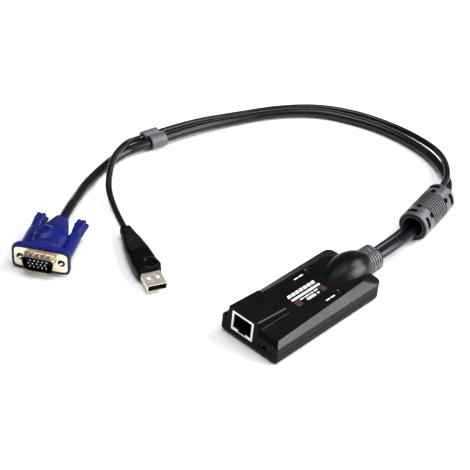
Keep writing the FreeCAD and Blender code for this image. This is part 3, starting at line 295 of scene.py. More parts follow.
def by_facing(look, dull, shiny):
    """The shine runs from dull to shiny while n_x n_z of the softened normal runs from
    GLEAM_FROM to GLEAM_TO, so faces that slope up towards +X and the edges beside them gleam,
    and level and upright faces stay dark.  On the dome, inside x = DOME_INNER and fading by
    DOME_OUTER, DOME_HOLD is taken off first, so that only steeper slopes gleam."""
    facing = look.node("ShaderNodeSeparateXYZ")
    look.link(look.fine.outputs["Normal"], facing.inputs["Vector"])
    slope = look.node("ShaderNodeMath")
    slope.operation = "MULTIPLY"
    look.link(facing.outputs["X"], slope.inputs[0])
    look.link(facing.outputs["Z"], slope.inputs[1])
    place = look.node("ShaderNodeSeparateXYZ")
    look.link(look.where, place.inputs["Vector"])
    hold = look.node("ShaderNodeMapRange")
    look.link(place.outputs["X"], hold.inputs["Value"])
    hold.inputs["From Min"].default_value = DOME_INNER
    hold.inputs["From Max"].default_value = DOME_OUTER
    hold.inputs["To Min"].default_value = DOME_HOLD
    hold.inputs["To Max"].default_value = 0.0
    rest = look.node("ShaderNodeMath")
    rest.operation = "SUBTRACT"
    look.link(slope.outputs["Value"], rest.inputs[0])
    look.link(hold.outputs["Result"], rest.inputs[1])
    shine = look.node("ShaderNodeMapRange")
    look.link(rest.outputs["Value"], shine.inputs["Value"])
    shine.inputs["From Min"].default_value = GLEAM_FROM
    shine.inputs["From Max"].default_value = GLEAM_TO
    shine.inputs["To Min"].default_value = dull
    shine.inputs["To Max"].default_value = shiny
    return shine.outputs["Result"]


def draw_seam_and_sheen(look):
    """Darkens a narrow level band where the covers meet, |z - SEAM| < SEAM_HALF, and takes
    the shine from it.  Elsewhere the shine follows by_facing, a painted sheen that gleams where
    faces slope up towards +X."""
    split = look.node("ShaderNodeSeparateXYZ")
    look.link(look.where, split.inputs["Vector"])
    near = look.node("ShaderNodeMath")
    near.operation = "COMPARE"
    look.link(split.outputs["Z"], near.inputs[0])
    near.inputs[1].default_value = SEAM
    near.inputs[2].default_value = SEAM_HALF
    colour = look.node("ShaderNodeMix")
    colour.data_type = "RGBA"
    look.link(near.outputs["Value"], colour.inputs["Factor"])
    look.link(look.slow.outputs["Colour"], colour.inputs["A"])
    colour.inputs["B"].default_value = (0.0, 0.0, 0.0, 1.0)
    look.link(colour.outputs["Result"], look.shader.inputs["Base Color"])
    bare = look.node("ShaderNodeMath")
    bare.operation = "SUBTRACT"
    bare.use_clamp = True
    # Painted sheen: the case's shine follows which way its faces turn.
    look.link(by_facing(look, CASE_DULL, CASE_SHINY), bare.inputs[0])
    look.link(near.outputs["Value"], bare.inputs[1])
    look.link(bare.outputs["Value"], look.shader.inputs["Specular IOR Level"])


UPRIGHT = 0.1
LEVEL = 0.85


def shade_sides(look, low):
    """Painted shade: multiplies the colour by a factor that runs from low, where n_z is UPRIGHT or
    less, to 1, where n_z is LEVEL or more, so upright sides come out darker."""
    facing = look.node("ShaderNodeSeparateXYZ")
    look.link(look.fine.outputs["Normal"], facing.inputs["Vector"])
    level = look.node("ShaderNodeMapRange")
    look.link(facing.outputs["Z"], level.inputs["Value"])
    level.inputs["From Min"].default_value = UPRIGHT
    level.inputs["From Max"].default_value = LEVEL
    level.inputs["To Min"].default_value = low
    darker = look.node("ShaderNodeVectorMath")
    darker.operation = "SCALE"
    look.link(look.slow.outputs["Colour"], darker.inputs["Vector"])
    look.link(level.outputs["Result"], darker.inputs["Scale"])
    look.link(darker.outputs["Vector"], look.shader.inputs["Base Color"])


draw_seam_and_sheen(case_look)
# Painted shade on the upright sides of the blue hood and screw heads.
shade_sides(blue_look, 0.35)

# Every CAD node has its look, those that a piece stands for among them.
LOOKS = {
    "top_cover": case_look, "bottom_cover": case_look, "strain_relief": relief_look,
    "circuit_board": board_look, "jack_shield": bright_look, "jack_insert": black_look,
    "jack_contacts": gold_look, "switch_body": black_look, "switch_slider": black_look,
    "light_pipe_left": pipe_look, "light_pipe_right": pipe_look, "led_chips": pipe_look,
    "main_chip": chip_look, "signal_transformer": chip_look, "choke_jacket": choke_look,
    "choke_core": ferrite_look, "cord_band": band_look, "video_hood": blue_look,
    "video_shell": plate_look, "video_insulator": black_look, "video_pins": steel_look,
    "thumbscrew_shank_left": steel_look, "thumbscrew_shank_right": steel_look,
    "thumbscrew_head_left": blue_look, "thumbscrew_head_right": blue_look,
    # The USB tongue is made near-black as painted shade in the plug's mouth.
    "usb_shell": nickel_look, "usb_tongue": pit_shade_look, "usb_contacts": gold_look,
    "usb_grip": usb_look,
}


def dress(obj, look):
    """Makes look the only material of a piece."""
    obj.data.materials.clear()
    obj.data.materials.append(look.material)


for name, look in LOOKS.items():
    for slot in nodes_of_frame[name].material_slots:
        slot.material = look.material
for cord in (video_cord, usb_cord):
    dress(cord, cord_look)

# ---------------------------------------------------------------- mesh tools

SHARP = 35.0
OBLONG_STEPS = 2400


def turned(turn, roll=0.0):
    """The rotation Rz(turn) Rx(roll), in degrees."""
    a, b = math.radians(turn), math.radians(roll)
    about_z = np.array([[math.cos(a), -math.sin(a), 0.0], [math.sin(a), math.cos(a), 0.0],
                        [0.0, 0.0, 1.0]])
    about_x = np.array([[1.0, 0.0, 0.0], [0.0, math.cos(b), -math.sin(b)],
                        [0.0, math.sin(b), math.cos(b)]])
    return about_z @ about_x


class Shape:
    """Gathers surfaces in millimetres in a local frame, and makes them one piece.  A point p of
    the local frame lies at origin + axes p."""

    def __init__(self, origin=(0.0, 0.0, 0.0), axes=None):
        self.origin = np.array(origin)
        self.axes = np.eye(3) if axes is None else axes
        self.points = []
        self.faces = []
        self.slots = []
        self.count = 0

    def tube(self, rings, slot=0, start=True, end=True):
        """A skin through closed rings, an array of (stations, around, 3): point j of ring i is
        joined to its neighbour j + 1 and to the same two of ring i + 1.  slot is one material
        slot, or one for each step from ring to ring, or one for each face.  start and end close
        the two ends."""
        rings = np.asarray(rings, dtype=float)
        stations, around = rings.shape[:2]
        i = np.arange(stations - 1)[:, None] * around
        j = np.arange(around)[None, :]
        k = (j + 1) % around
        quads = np.stack([i + j, i + k, i + around + k, i + around + j], -1).reshape(-1, 4)
        quads = quads + self.count
        self.faces += quads.tolist()
        slot_list = np.broadcast_to(slot, (stations - 1, around)).reshape(-1).tolist()
        self.slots += slot_list
        last = self.count + (stations - 1) * around
        if start:
            self.faces.append(list(range(self.count + around - 1, self.count - 1, -1)))
            self.slots.append(slot_list[0])
        if end:
            self.faces.append(list(range(last, last + around)))
            self.slots.append(slot_list[-1])
        self.points.append(rings.reshape(-1, 3))
        self.count += stations * around

    def build(self, name, looks, body="adapter", stands_for=()):
        """One smooth piece of all the surfaces, with edges sharper than SHARP kept crisp."""
        mesh = bpy.data.meshes.new(name)
        points = np.concatenate(self.points) @ self.axes.T + self.origin
        mesh.from_pydata((points * MM).tolist(), [], self.faces)
        for look in looks:
            mesh.materials.append(look.material)
        mesh.polygons.foreach_set("material_index", self.slots)
        mesh.polygons.foreach_set("use_smooth", [True] * len(self.faces))
        work = bmesh.new()
        work.from_mesh(mesh)
        bmesh.ops.recalc_face_normals(work, faces=work.faces)
        work.to_mesh(mesh)
        work.free()
        mesh.set_sharp_from_angle(angle=math.radians(SHARP))
        piece = bpy.data.objects.new(name, mesh)
        scene.collection.objects.link(piece)
        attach(piece, body)
        if stands_for:
            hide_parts(*stands_for)
        return piece


def even(outline, count):
    """A closed outline resampled to count points, equally far apart along it."""
    closed = np.vstack([outline, outline[:1]])
    steps = np.r_[0.0, np.cumsum(np.linalg.norm(np.diff(closed, axis=0), axis=1))]
    marks = np.arange(count) / count * steps[-1]
    return np.stack([np.interp(marks, steps, closed[:, i]) for i in range(2)], -1)


def oblong(half_width, half_height, power, count=160):
    """Superellipse |u / half_width|^power + |v / half_height|^power = 1, evenly sampled."""
    t = np.arange(OBLONG_STEPS) / OBLONG_STEPS * 2 * math.pi
    u = np.sign(np.cos(t)) * np.abs(np.cos(t)) ** (2 / power) * half_width
    v = np.sign(np.sin(t)) * np.abs(np.sin(t)) ** (2 / power) * half_height
    return even(np.stack([u, v], -1), count)


def station(x, outline, shift=(0.0, 0.0)):
    """A ring: an outline of (y, z), moved by shift and set upright at x."""
    return np.column_stack([np.full(len(outline), x), outline[:, 0] + shift[0],
                            outline[:, 1] + shift[1]])


def turned_rings(profile, around=96, centre=(0.0, 0.0)):
    """Rings of a profile of (x, radius r) turned about an axis along X through (y, z) = centre:
    (x, centre_y + r cos t, centre_z + r sin t)."""
    t = np.arange(around) / around * 2 * math.pi
    return [np.column_stack([np.full(around, x), centre[0] + r * np.cos(t),
                             centre[1] + r * np.sin(t)]) for x, r in profile]


def ease(value):
    """Smooth step from 0 to 1: 3 t^2 - 2 t^3."""
    t = np.clip(value, 0.0, 1.0)
    return t * t * (3 - 2 * t)


# ---------------------------------------------------------------- choke

CHOKE_MIDDLE = (-6.0, 118.0, 9.75)
CHOKE_RUN = np.subtract(VIDEO_ROUTE[3], VIDEO_ROUTE[2])
CHOKE_TURN = math.degrees(math.atan2(CHOKE_RUN[1], CHOKE_RUN[0]))
CHOKE_HALF = 38.5 / 2
CHOKE_RADIUS = 9.7
CHOKE_ROUNDING = 0.8
CHOKE_STATIONS = 300
CHOKE_AROUND = 256
GROOVE_PITCH = 2.0
GROOVES = 9
GROOVE_DEPTH = 0.6
SHADOW_FROM = 0.45
PIT_DEPTH = 0.9
PIT_EDGE = 0.06
PIN_STATION = 9.6
PIN_ANGLES = (138.0, 78.0)
PIN_RADIUS = 1.6
PIN_WALL = 0.3
SLOT_STATION = 15.3
SLOT_ANGLES = (152.0, 65.0)
SLOT_REACH = 2.5
SLOT_RADIUS = 1.45
SLOT_WALL = 0.25
BORE_RADIUS = 6.4
END_DEPTH = 6.0
# The four materials of the jacket: plain, and three dark ones that are painted shade, in the
# pits, on the end's recess walls and in the bore, and at the groove bottoms; and the end face
# as (depth, radius) with one for each step.
PLAIN, PIT_SHADE, RECESS_SHADE, GROOVE_SHADE = range(4)
END_PROFILE = [(0.0, 8.9), (-0.4, 8.75), (-0.5, 8.5), (-0.5, 6.95), (-0.1, 6.8), (-0.1, 6.5),
               (-0.9, BORE_RADIUS), (-END_DEPTH, BORE_RADIUS)]
END_SLOTS = [[PLAIN], [RECESS_SHADE], [RECESS_SHADE], [PLAIN], [PLAIN], [PLAIN], [RECESS_SHADE]]


def arc_to(t, angle):
    """The distance round the jacket from the angles t, in radians, to angle, in degrees."""
    return CHOKE_RADIUS * np.abs((t - math.radians(angle) + math.pi) % (2 * math.pi) - math.pi)


def choke_pits(x, t):
    """How deep the jacket is sunk at (x, t), from 0 to 1.  A pin's pit is a disc of PIN_RADIUS,
    and a slot is all within SLOT_RADIUS of an arc of SLOT_REACH to each side of its middle.
    Both have eased walls, and come at both ends and again half a turn on."""
    pit = np.zeros((len(x), len(t)))
    for half_turn in (0.0, 180.0):
        for side in (-1, 1):
            for angle in PIN_ANGLES:
                arc = arc_to(t, angle + half_turn)
                far = np.hypot(x[:, None] - side * PIN_STATION, arc[None, :])
                pit = np.maximum(pit, ease((PIN_RADIUS - far) / PIN_WALL))
            for angle in SLOT_ANGLES:
                arc = np.maximum(arc_to(t, angle + half_turn) - SLOT_REACH, 0.0)
                far = np.hypot(x[:, None] - side * SLOT_STATION, arc[None, :])
                pit = np.maximum(pit, ease((SLOT_RADIUS - far) / SLOT_WALL))
    return pit


def make_choke():
    """The jacket round its own X axis: r = R - GROOVE_DEPTH |cos(pi x / pitch)|^4 over the
    grooved middle, less PIT_DEPTH times the pits, and quarter circles at its two rims.  The end
    faces and the bore are profiles turned about X."""
    shape = Shape(CHOKE_MIDDLE, turned(CHOKE_TURN))
    x = np.linspace(-CHOKE_HALF, CHOKE_HALF, CHOKE_STATIONS)
    t = np.arange(CHOKE_AROUND) / CHOKE_AROUND * 2 * math.pi
    away = np.clip(CHOKE_ROUNDING - (CHOKE_HALF - np.abs(x)), 0.0, CHOKE_ROUNDING)
    radius = CHOKE_RADIUS - CHOKE_ROUNDING + np.sqrt(CHOKE_ROUNDING ** 2 - away ** 2)
    grooved = np.abs(x) < GROOVE_PITCH * GROOVES / 2
    wave = np.abs(np.cos(math.pi * x / GROOVE_PITCH)) ** 4
    radius = radius - np.where(grooved, GROOVE_DEPTH * wave, 0.0)
    pit = choke_pits(x, t)
    field = radius[:, None] - PIT_DEPTH * pit
    rings = np.stack([np.repeat(x[:, None], CHOKE_AROUND, axis=1), field * np.cos(t),
                      field * np.sin(t)], -1)
    # Painted shade: the pits and the groove bottoms take dark materials.
    deep = np.maximum(pit[:-1], pit[1:])
    sunk = np.maximum(deep, np.roll(deep, -1, axis=1)) > PIT_EDGE
    shadow = grooved[:-1] & (wave[:-1] > SHADOW_FROM)
    slots = np.where(sunk, PIT_SHADE, np.where(shadow[:, None], GROOVE_SHADE, PLAIN))
    shape.tube(rings, slot=slots, start=False, end=False)
    # The end's recess walls and the bore take black as painted shade.
    for side in (-1, 1):
        profile = [(side * (CHOKE_HALF + depth), r) for depth, r in END_PROFILE]
        shape.tube(turned_rings(profile, CHOKE_AROUND), slot=END_SLOTS, start=False, end=False)
    bore = [(side * (CHOKE_HALF - END_DEPTH), BORE_RADIUS) for side in (-1, 1)]
    shape.tube(turned_rings(bore, CHOKE_AROUND), slot=RECESS_SHADE, start=False, end=False)
    shape.build("choke_shell", [choke_look, pit_shade_look, black_look, groove_shadow_look],
                stands_for=("choke_jacket",))


make_choke()

# ---------------------------------------------------------------- video plug

VIDEO_ORIGIN = (-125.16, -92.33, 9.15)
VIDEO_AXES = turned(-60.92, 3.3)
SCREW_SIDE = 12.5
FLANGE_POWER = 7.0
BODY_FRONT = -5.0
BODY_BACK = -39.0
BODY_POWER = 3.2
BODY_POINTS = 220
TAIL_FRONT = -25.6
FIRST_GROOVE = -26.6
TAIL_PITCH = 2.35
TAIL_DEPTH = 0.7
RING_CENTRE = (-18.8, -5.1)
RING_RADIUS = 4.6
RING_WIDTH = 0.8
RING_FLOOR = 4.1
BOSS_RADIUS = 7.6
SCREW_HEAD_FRONT = -26.6
SCREW_HEAD_BACK = -39.2
SCREW_HEAD_RADIUS = 3.35
SCREW_HEAD_FLARE = 1.25
FLUTES = 6
FLUTE_POINTS = 144


def interpolated(table, x):
    """A size at x from a few (x, size) pairs: 0.6 of the straight line between two pairs and 0.4
    of the smooth step between them."""
    places, sizes = np.array(table).T
    order = np.argsort(places)
    places, sizes = places[order], sizes[order]
    index = np.clip(np.searchsorted(places, x) - 1, 0, len(places) - 2)
    share = ease((x - places[index]) / (places[index + 1] - places[index]))
    straight = np.interp(x, places, sizes)
    eased = sizes[index] + (sizes[index + 1] - sizes[index]) * share
    return 0.6 * straight + 0.4 * eased


def thumb_relief(x, y):
    """How far the hood's upper side stands over its plain form, with r the distance from
    RING_CENTRE: a ring 0.60 exp(-((r - RING_RADIUS) / RING_WIDTH)^2), a floor 0.30 lower inside
    it, a boss 0.50 high under both, and a dent 1.2 deep by the flange."""
    far = np.hypot(x - RING_CENTRE[0], y - RING_CENTRE[1])
    ring = 0.60 * np.exp(-((far - RING_RADIUS) / RING_WIDTH) ** 2)
    floor = -0.30 * ease(RING_FLOOR - far)
    boss = 0.50 * ease((BOSS_RADIUS - far) / 1.6)
    dent = -1.2 * np.exp(-(((x + 7.2) / 1.1) ** 2) - ((y / 7.0) ** 4))
    return ring + floor + boss + dent


def make_video_hood():
    """The flange is superellipses of FLANGE_POWER carried along X.  The body is superellipses of
    BODY_POWER whose half width and half height run through the two tables.  On the tail both
    are less by TAIL_DEPTH |cos(pi (x - FIRST_GROOVE) / TAIL_PITCH)|^5.  The upper side has the
    thumb relief, and the two screw sleeves are profiles turned about X."""
    shape = Shape(VIDEO_ORIGIN, VIDEO_AXES)
    flange = [(-0.9, 16.3, 6.7), (0.05, 16.35, 6.75), (0.05, 16.9, 7.6), (0.2, 17.3, 8.0),
              (-0.1, 17.6, 8.3), (-2.5, 17.6, 8.3), (-2.9, 17.2, 7.9), (-3.1, 16.9, 7.7),
              (-5.0, 16.7, 7.5), (-5.5, 16.2, 7.0)]
    shape.tube([station(x, oblong(w, h, FLANGE_POWER)) for x, w, h in flange])
    widths = ((-5.0, 10.4), (-9.0, 10.0), (-20.0, 10.6), (-24.0, 9.4), (-27.0, 7.9), (-31.0, 6.9),
              (-35.0, 5.6), (-39.0, 4.3))
    heights = ((-5.0, 7.0), (-8.0, 6.5), (-20.0, 6.7), (-27.0, 6.1), (-33.0, 5.3), (-39.0, 4.3))
    rings = []
    for x in np.linspace(BODY_FRONT, BODY_BACK, 170):
        width, height = interpolated(widths, x), interpolated(heights, x)
        groove = 0.0
        if x < TAIL_FRONT:
            groove = TAIL_DEPTH * abs(math.cos(math.pi * (x - FIRST_GROOVE) / TAIL_PITCH)) ** 5
        y, z = oblong(width - groove, height - groove, BODY_POWER, BODY_POINTS).T
        top = ease(z / height * 2.0)
        rings.append(station(x, np.column_stack([y, z + top * thumb_relief(x, y)])))
    shape.tube(rings)
    sleeve = [(-4.5, 3.8), (-25.6, 3.8), (-26.2, 3.5), (-26.2, 1.7), (-4.5, 1.7)]
    for side in (-1, 1):
        shape.tube(turned_rings(sleeve, 64, (side * SCREW_SIDE, 0.0)), start=False, end=False)
    shape.build("video_hood_look", [blue_look], stands_for=("video_hood",))


def make_screw_head(side, name):
    """A flared head with six flutes, r = R(x) (1 - d(x) (0.5 - 0.5 cos 6t)^1.5), where R grows
    by SCREW_HEAD_FLARE from front to back, with both rims eased in, and d grows to 0.26."""
    shape = Shape(VIDEO_ORIGIN, VIDEO_AXES)
    t = np.arange(FLUTE_POINTS) / FLUTE_POINTS * 2 * math.pi
    flute = (0.5 - 0.5 * np.cos(FLUTES * t)) ** 1.5
    rings = []
    for x in np.linspace(SCREW_HEAD_FRONT, SCREW_HEAD_BACK, 60):
        share = (SCREW_HEAD_FRONT - x) / (SCREW_HEAD_FRONT - SCREW_HEAD_BACK)
        radius = SCREW_HEAD_RADIUS + SCREW_HEAD_FLARE * share
        radius -= 0.35 * ease((share - 0.94) / 0.06) + 0.5 * ease((0.06 - share) / 0.06)
        r = radius * (1 - 0.26 * ease((share - 0.3) / 0.6) * flute)
        outline = np.column_stack([r * np.cos(t), r * np.sin(t)])
        rings.append(station(x, outline, (side * SCREW_SIDE, 0.0)))
    shape.tube(rings)
    shape.build("screw_head_look_" + name, [blue_look], body="thumbscrew_" + name,
                stands_for=("thumbscrew_head_" + name,))


D_HALF_WIDTH = 9.2
D_HALF_HEIGHT = 4.6
D_FLARE = 0.09
D_RISE = 0.2
D_POINTS = 200
D_LENGTH = 5.9
FILLET = 1.2
FILLET_LENGTH = 1.4
DIMPLES = (-7.2, -3.7, -0.1, 3.5, 7.1)
DIMPLE_STATION = 2.3
DIMPLE_RADIUS = 0.9
DIMPLE_HEIGHT = 0.32
# The shell's lip and lining as (x, growth of the D).
LIP = ((6.15, -0.12), (6.2, -0.3), (6.1, -0.55), (5.6, -0.62), (0.4, -0.62))
# Which faces of the shell take which material: rings from the plate to the lining, and points
# round the D, from its +Y side over its top.  The dark slot is near-black, painted shade on the
# shell's front edge, lip and lining and in the screw holes; the rim slot is dark metal, painted
# shade on the lip and the band behind it, away from its +Y side and top.
GOLD, COPPER, SHADED, RIM_SHADE = range(4)
COPPER_RINGS = slice(2, 46)
COPPER_POINTS = slice(20, 80)
SHADED_RINGS = slice(46, None)
RIM_SHADE_RINGS = slice(42, 52)
COLUMN_PITCH = 2.5
ROW_PITCH = 2.2
ROW_SHIFTS = ((1, 0.1), (0, -0.32), (-1, 0.0))


def d_outline(grow):
    """A rounded D, wider at the top: a superellipse of power 5.5, grown by grow to every side,
    whose y is multiplied by 1 + D_FLARE z / half height, then raised by D_RISE."""
    half_width, half_height = D_HALF_WIDTH + grow, D_HALF_HEIGHT + grow
    y, z = oblong(half_width, half_height, 5.5, D_POINTS).T
    return np.column_stack([y * (1 + D_FLARE * z / half_height), z + D_RISE])


def shell_ring(x):
    """The shell at x: the D, grown by a quarter circle of FILLET where it meets the plate, and
    raised on its upper side by DIMPLE_HEIGHT exp(-(distance to a dimple / DIMPLE_RADIUS)^2)."""
    inward = 1 - min(x / FILLET_LENGTH, 1.0)
    outline = d_outline(FILLET * (1 - math.sqrt(max(0.0, 1 - inward ** 2))))
    top = ease((outline[:, 1] - 3.0) / 1.2)
    bump = sum(np.exp(-((x - DIMPLE_STATION) ** 2 + (outline[:, 0] - y) ** 2) / DIMPLE_RADIUS ** 2)
               for y in DIMPLES)
    outline[:, 1] += DIMPLE_HEIGHT * top * bump
    return station(x, outline)


def make_video_front():
    """The plate is superellipses of power 9 with a bevelled front edge, and the shell's rings
    run out of it, round the lip and back along the lining.  The shell's front edge, lip and
    lining are dark, as painted shade, and two dark discs, painted shade, stand for the screw
    holes."""
    front = Shape(VIDEO_ORIGIN, VIDEO_AXES)
    front.tube([station(x, oblong(16.3 - edge, 6.7 - edge, 9.0))
                for x, edge in ((-1.0, 0.0), (-0.15, 0.0), (0.0, 0.15))])
    rings = [shell_ring(x) for x in np.linspace(0.0, FILLET_LENGTH, 10)]
    rings += [shell_ring(x) for x in np.linspace(FILLET_LENGTH + 0.2, D_LENGTH, 40)]
    rings += [station(x, d_outline(grow)) for x, grow in LIP]
    slots = np.full((len(rings) - 1, D_POINTS), GOLD)
    slots[COPPER_RINGS, COPPER_POINTS] = COPPER
    # Painted shade: the front edge, lip and lining go near-black, and the rim away from the +Y
    # side and top goes dark metal.
    slots[SHADED_RINGS, :] = SHADED
    across, up = d_outline(0.0).T
    slots[RIM_SHADE_RINGS, (across < 6.0) & (up < 3.6)] = RIM_SHADE
    front.tube(rings, slot=slots, start=False, end=False)
    for side in (-1, 1):
        # The screw holes as flat dark discs: painted shade.
        hole = turned_rings([(0.02, 2.3), (0.02, 0.0001)], 48, (side * SCREW_SIDE, 0.0))
        front.tube(hole, slot=SHADED, start=False, end=False)
    front.build("video_front_look", [plate_look, copper_look, pit_shade_look, rim_shade_look],
                stands_for=("video_shell",))


def make_video_inside():
    """The insulator, a D inside the shell, and three rows of five pins: each is a navy post and
    a bright tip, profiles turned about X."""
    inside = Shape(VIDEO_ORIGIN, VIDEO_AXES)
    inside.tube([station(x, d_outline(-0.7)) for x in (-1.0, 1.6)])
    for row, shift in ROW_SHIFTS:
        for column in range(5):
            centre = ((column - 2 + shift) * COLUMN_PITCH, row * ROW_PITCH + D_RISE)
            inside.tube(turned_rings([(1.0, 0.45), (4.4, 0.45)], 24, centre))
            inside.tube(turned_rings([(4.4, 0.5), (4.9, 0.5), (5.1, 0.3)], 24, centre), slot=1)
    inside.build("video_inside_look", [navy_look, pin_look],
                 stands_for=("video_insulator", "video_pins"))


SCREW_SLOT_HALF = 0.42
SCREW_SLOT_REACH = 1.3
SCREW_SLOT_TILT = 35.0


def make_screw_tips():
    """The slotted ends of the two captive screws in the plate's holes: a profile turned about X in
    dark metal, painted shade, and a thin bright bar across its end where the slot is, a painted
    highlight."""
    tip = [(-5.0, 1.45), (0.3, 1.45), (0.7, 1.2), (0.85, 0.7), (0.85, 0.001)]
    corners = [(SCREW_SLOT_REACH * u, SCREW_SLOT_HALF * v)
               for u, v in ((-1, -1), (1, -1), (1, 1), (-1, 1))]
    tilt = turned(SCREW_SLOT_TILT)[:2, :2]
    for side, name in ((-1, "left"), (1, "right")):
        shape = Shape(VIDEO_ORIGIN, VIDEO_AXES)
        middle = (side * SCREW_SIDE, 0.0)
        # The tip in dark metal: painted shade.
        shape.tube(turned_rings(tip, 48, middle))
        outline = np.array(corners) @ tilt.T
        # A bright bar where the slot is: a painted highlight.
        shape.tube([station(x, outline, middle) for x in (0.80, 0.87)], slot=1)
        shape.build("screw_tip_" + name, [rim_shade_look, bright_look], body="thumbscrew_" + name)


make_video_hood()
make_screw_head(-1, "left")
make_screw_head(1, "right")
make_video_front()
make_video_inside()
make_screw_tips()

# ---------------------------------------------------------------- USB plug

USB_ORIGIN = (-66.83, -54.81, 4.75)
USB_AXES = turned(-25.0, 2.0)
GRIP_FRONT = -11.8
GRIP_BACK = -56.0
GRIP_POWER = 3.6
GRIP_POINTS = 240
RIBS_FRONT = -33.2
RIBS_BACK = -55.2
RIB_PITCH = 2.2
RIB_DEPTH = 0.45
DISC_CENTRE = (-18.6, 1.9)
DISC_RADIUS = 6.8
DISH_RADIUS = 4.1
DISH_DEPTH = 1.0
DISH_RIM_RADIUS = 4.6
DISH_RIM_HEIGHT = 0.30


def dish_relief(x, y):
    """How far the grip's upper side stands over its plain form, with r the distance from
    DISC_CENTRE: a dish of DISH_DEPTH inside DISH_RADIUS, with an eased wall, and round it a rim
    DISH_RIM_HEIGHT exp(-((r - DISH_RIM_RADIUS) / 0.5)^2)."""
    far = np.hypot(x - DISC_CENTRE[0], y - DISC_CENTRE[1])
    dish = -DISH_DEPTH * ease((DISH_RADIUS - far) / 0.9)
    return dish + DISH_RIM_HEIGHT * np.exp(-((far - DISH_RIM_RADIUS) / 0.5) ** 2)


def make_usb_grip():
    """The grip is superellipses of GRIP_POWER along X whose half width and half height run
    through the two tables, with the front rim eased in.  On the tail both are less by
    RIB_DEPTH (1 - |sin(pi (x - RIBS_FRONT) / RIB_PITCH)|^0.7).  A disc of DISC_RADIUS swells
    its +Y side, and the upper side has the dish."""
    shape = Shape(USB_ORIGIN, USB_AXES)
    widths = ((-11.8, 6.7), (-14.0, 7.6), (-22.0, 7.9), (-33.0, 7.2), (-42.0, 6.0), (-50.0, 4.4),
              (-56.0, 3.5))
    heights = ((-11.8, 3.7), (-15.0, 4.2), (-33.0, 4.25), (-45.0, 3.9), (-56.0, 3.2))
    rings = []
    for x in np.linspace(GRIP_FRONT, GRIP_BACK, 300):
        rim = ease((x - GRIP_FRONT + 0.5) / 0.5)
        width = interpolated(widths, x) - 0.6 * rim
        height = interpolated(heights, x) - 0.5 * rim
        groove = 0.0
        if RIBS_BACK < x < RIBS_FRONT:
            rib = abs(math.sin(math.pi * (x - RIBS_FRONT) / RIB_PITCH)) ** 0.7
            groove = RIB_DEPTH * (1 - rib)
        y, z = oblong(width - groove, height - groove, GRIP_POWER, GRIP_POINTS).T
        reach = DISC_RADIUS ** 2 - (x - DISC_CENTRE[0]) ** 2
        if reach > 0:
            swell = max(0.0, DISC_CENTRE[1] + math.sqrt(reach) - width)
            y = y + swell * ease((y / width - 0.55) / 0.4)
        top = ease(z / height * 2.0)
        rings.append(station(x, np.column_stack([y, z + top * dish_relief(x, y)])))
    shape.tube(rings)
    shape.build("usb_grip_look", [usb_look], stands_for=("usb_grip",))


WINDOW_SIDE = 2.7
WINDOW_ENDS = (-7.6, -5.4)
PAD_HEIGHT = 1.75
FOLD_ENDS = (-11.6, -0.3)
FOLD_HEIGHT = 2.255


def make_usb_trim():
    """White pads under the shell's two windows, and the fold line between them: superellipses
    of power 8 carried along X."""
    shape = Shape(USB_ORIGIN, USB_AXES)
    pad = oblong(1.05, 0.25, 8.0, 24)
    for y in (-WINDOW_SIDE, WINDOW_SIDE):
        shape.tube([station(x, pad, (y, PAD_HEIGHT)) for x in WINDOW_ENDS])
    fold = oblong(0.07, 0.01, 8.0, 16)
    shape.tube([station(x, fold, (0.0, FOLD_HEIGHT)) for x in FOLD_ENDS], slot=1)
    shape.build("usb_trim", [pad_look, seam_look])


make_usb_grip()
make_usb_trim()

# ---------------------------------------------------------------- print on the lid, and painted highlights

LID_TOP = 14.4
BAR_POINTS = 48
DOT = 0.75
DOT_ROWS = 1.1
DOT_COLUMNS = 1.05


def bar(shape, x0, x1, y0, y1, rounding, slot=0, skew=0.0):
    """A thin printed bar on the lid.  From its middle, x goes by u = (half_x - rounding)
    sign(cos t) + rounding cos t, and y by v, the same with half_y and sin t, less skew u."""
    half_x, half_y = (x1 - x0) / 2, (y1 - y0) / 2
    t = (np.arange(BAR_POINTS) + 0.5) / BAR_POINTS * 2 * math.pi
    u = (half_x - rounding) * np.sign(np.cos(t)) + rounding * np.cos(t)
    v = (half_y - rounding) * np.sign(np.sin(t)) + rounding * np.sin(t)
    x = (x0 + x1) / 2 + u
    y = (y0 + y1) / 2 + v - skew * u
    rings = [np.column_stack([x, y, np.full(BAR_POINTS, LID_TOP + rise)])
             for rise in (-0.02, 0.03)]
    shape.tube(rings, slot=slot)


def gleam(shape, x, y, radius):
    """A painted highlight: a thin pale crescent on a light's rim, from 150 to 240 degrees: between
    the circle of radius and the curve that lies 0.45 cos(2 (t - 195 deg)), and at least 0.02,
    inside it."""
    t = np.radians(np.linspace(150.0, 240.0, 24))
    width = 0.45 * np.cos((t - math.radians(195.0)) * 2)
    inner = radius - np.maximum(width, 0.02)
    u = np.r_[radius * np.cos(t), (inner * np.cos(t))[::-1]]
    v = np.r_[radius * np.sin(t), (inner * np.sin(t))[::-1]]
    shape.tube([np.column_stack([x + u, y + v, np.full(len(u), z)])
                for z in (LID_TOP - 0.5, LID_TOP - 0.3)])


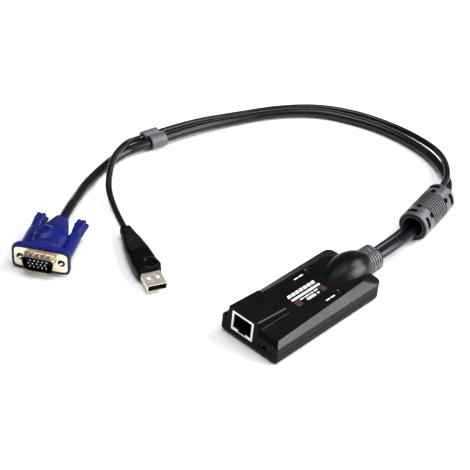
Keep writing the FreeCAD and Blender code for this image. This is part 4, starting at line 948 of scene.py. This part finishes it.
def make_print_and_highlights():
    """Plain bars where the lid has its lettering, a block of dots at each end of them, and two
    short marks and a gleam by each light; the gleam is a painted highlight in the white ink."""
    shape = Shape()
    for letter in range(7):
        low = -13.8 + letter * 3.35
        bar(shape, -4.9, -2.6, low, low + 2.75, 0.3, skew=0.35)
    bar(shape, -1.2, 0.4, -14.2, 10.0, 0.7)
    for low, high in ((-9.6, -6.6), (-6.0, -1.4), (-0.8, 1.6), (2.2, 5.4)):
        bar(shape, 1.6, 2.5, low, high, 0.3)
    bar(shape, 3.5, 5.3, -6.2, 1.2, 0.5)
    bar(shape, 3.8, 5.0, 2.4, 4.4, 0.55)
    for end in (-14.4, 6.4):
        for row in range(4):
            for column in range(4):
                x = 1.5 + row * DOT_ROWS
                y = end + column * DOT_COLUMNS
                bar(shape, x, x + DOT, y, y + DOT, 0.1, slot=1)
    for side in (-1, 1):
        # A painted highlight on the light's rim.
        gleam(shape, side * 12.5, 13.65, 2.4)
        middle = side * 12.3
        for low, high in ((1.2, 4.6), (5.2, 8.8)):
            bar(shape, middle - 0.45, middle + 0.45, low, high, 0.3)
    shape.build("lid_print_and_highlights", [white_ink_and_highlight, red_ink])


make_print_and_highlights()

# ---------------------------------------------------------------- floor and light


FLOOR_REACH = 3.0
FLOOR_LEVEL = -0.0002


def make_floor():
    """A square white floor, a hair under the cords and the case."""
    data = bpy.data.meshes.new("floor")
    corners = [(x * FLOOR_REACH, y * FLOOR_REACH, FLOOR_LEVEL)
               for x, y in ((-1, -1), (1, -1), (1, 1), (-1, 1))]
    data.from_pydata(corners, [], [(0, 1, 2, 3)])
    floor = bpy.data.objects.new("floor", data)
    scene.collection.objects.link(floor)
    look = Look("floor_white", (0.95, 0.95, 0.95), 0.8, spread=0.0, rough_spread=0.0, depth=0.0,
                specular=0.0)
    dress(floor, look)


def make_light(name, place, target, size, power):
    """A square soft box of size metres and power watts at place, facing the target."""
    data = bpy.data.lights.new(name, "AREA")
    data.size = size
    data.energy = power
    light = bpy.data.objects.new(name, data)
    heading = np.array(place) - np.array(target)
    heading = heading / np.linalg.norm(heading)
    side = np.cross((0.0, 0.0, 1.0), heading)
    side = side / np.linalg.norm(side)
    up = np.cross(heading, side)
    rows = [(side[i], up[i], heading[i], place[i]) for i in range(3)]
    light.matrix_world = Matrix(rows + [(0.0, 0.0, 0.0, 1.0)])
    scene.collection.objects.link(light)


def make_world():
    """An even white surround, dim enough to leave the lamps in charge."""
    world = bpy.data.worlds.new("studio")
    scene.world = world
    world.use_nodes = True
    background = world.node_tree.nodes["Background"]
    background.inputs["Color"].default_value = (1.0, 1.0, 1.0, 1.0)
    background.inputs["Strength"].default_value = 0.16


MIDDLE = (-0.07, 0.03, 0.0)
make_floor()
make_world()
make_light("key", (0.78, 0.66, 0.52), MIDDLE, 0.7, 18.0)
make_light("slope", (0.27, 0.77, 0.90), MIDDLE, 0.5, 8.0)
make_light("top", (-0.10, -0.05, 1.3), MIDDLE, 0.9, 15.0)

scene.view_settings.view_transform = "Standard"
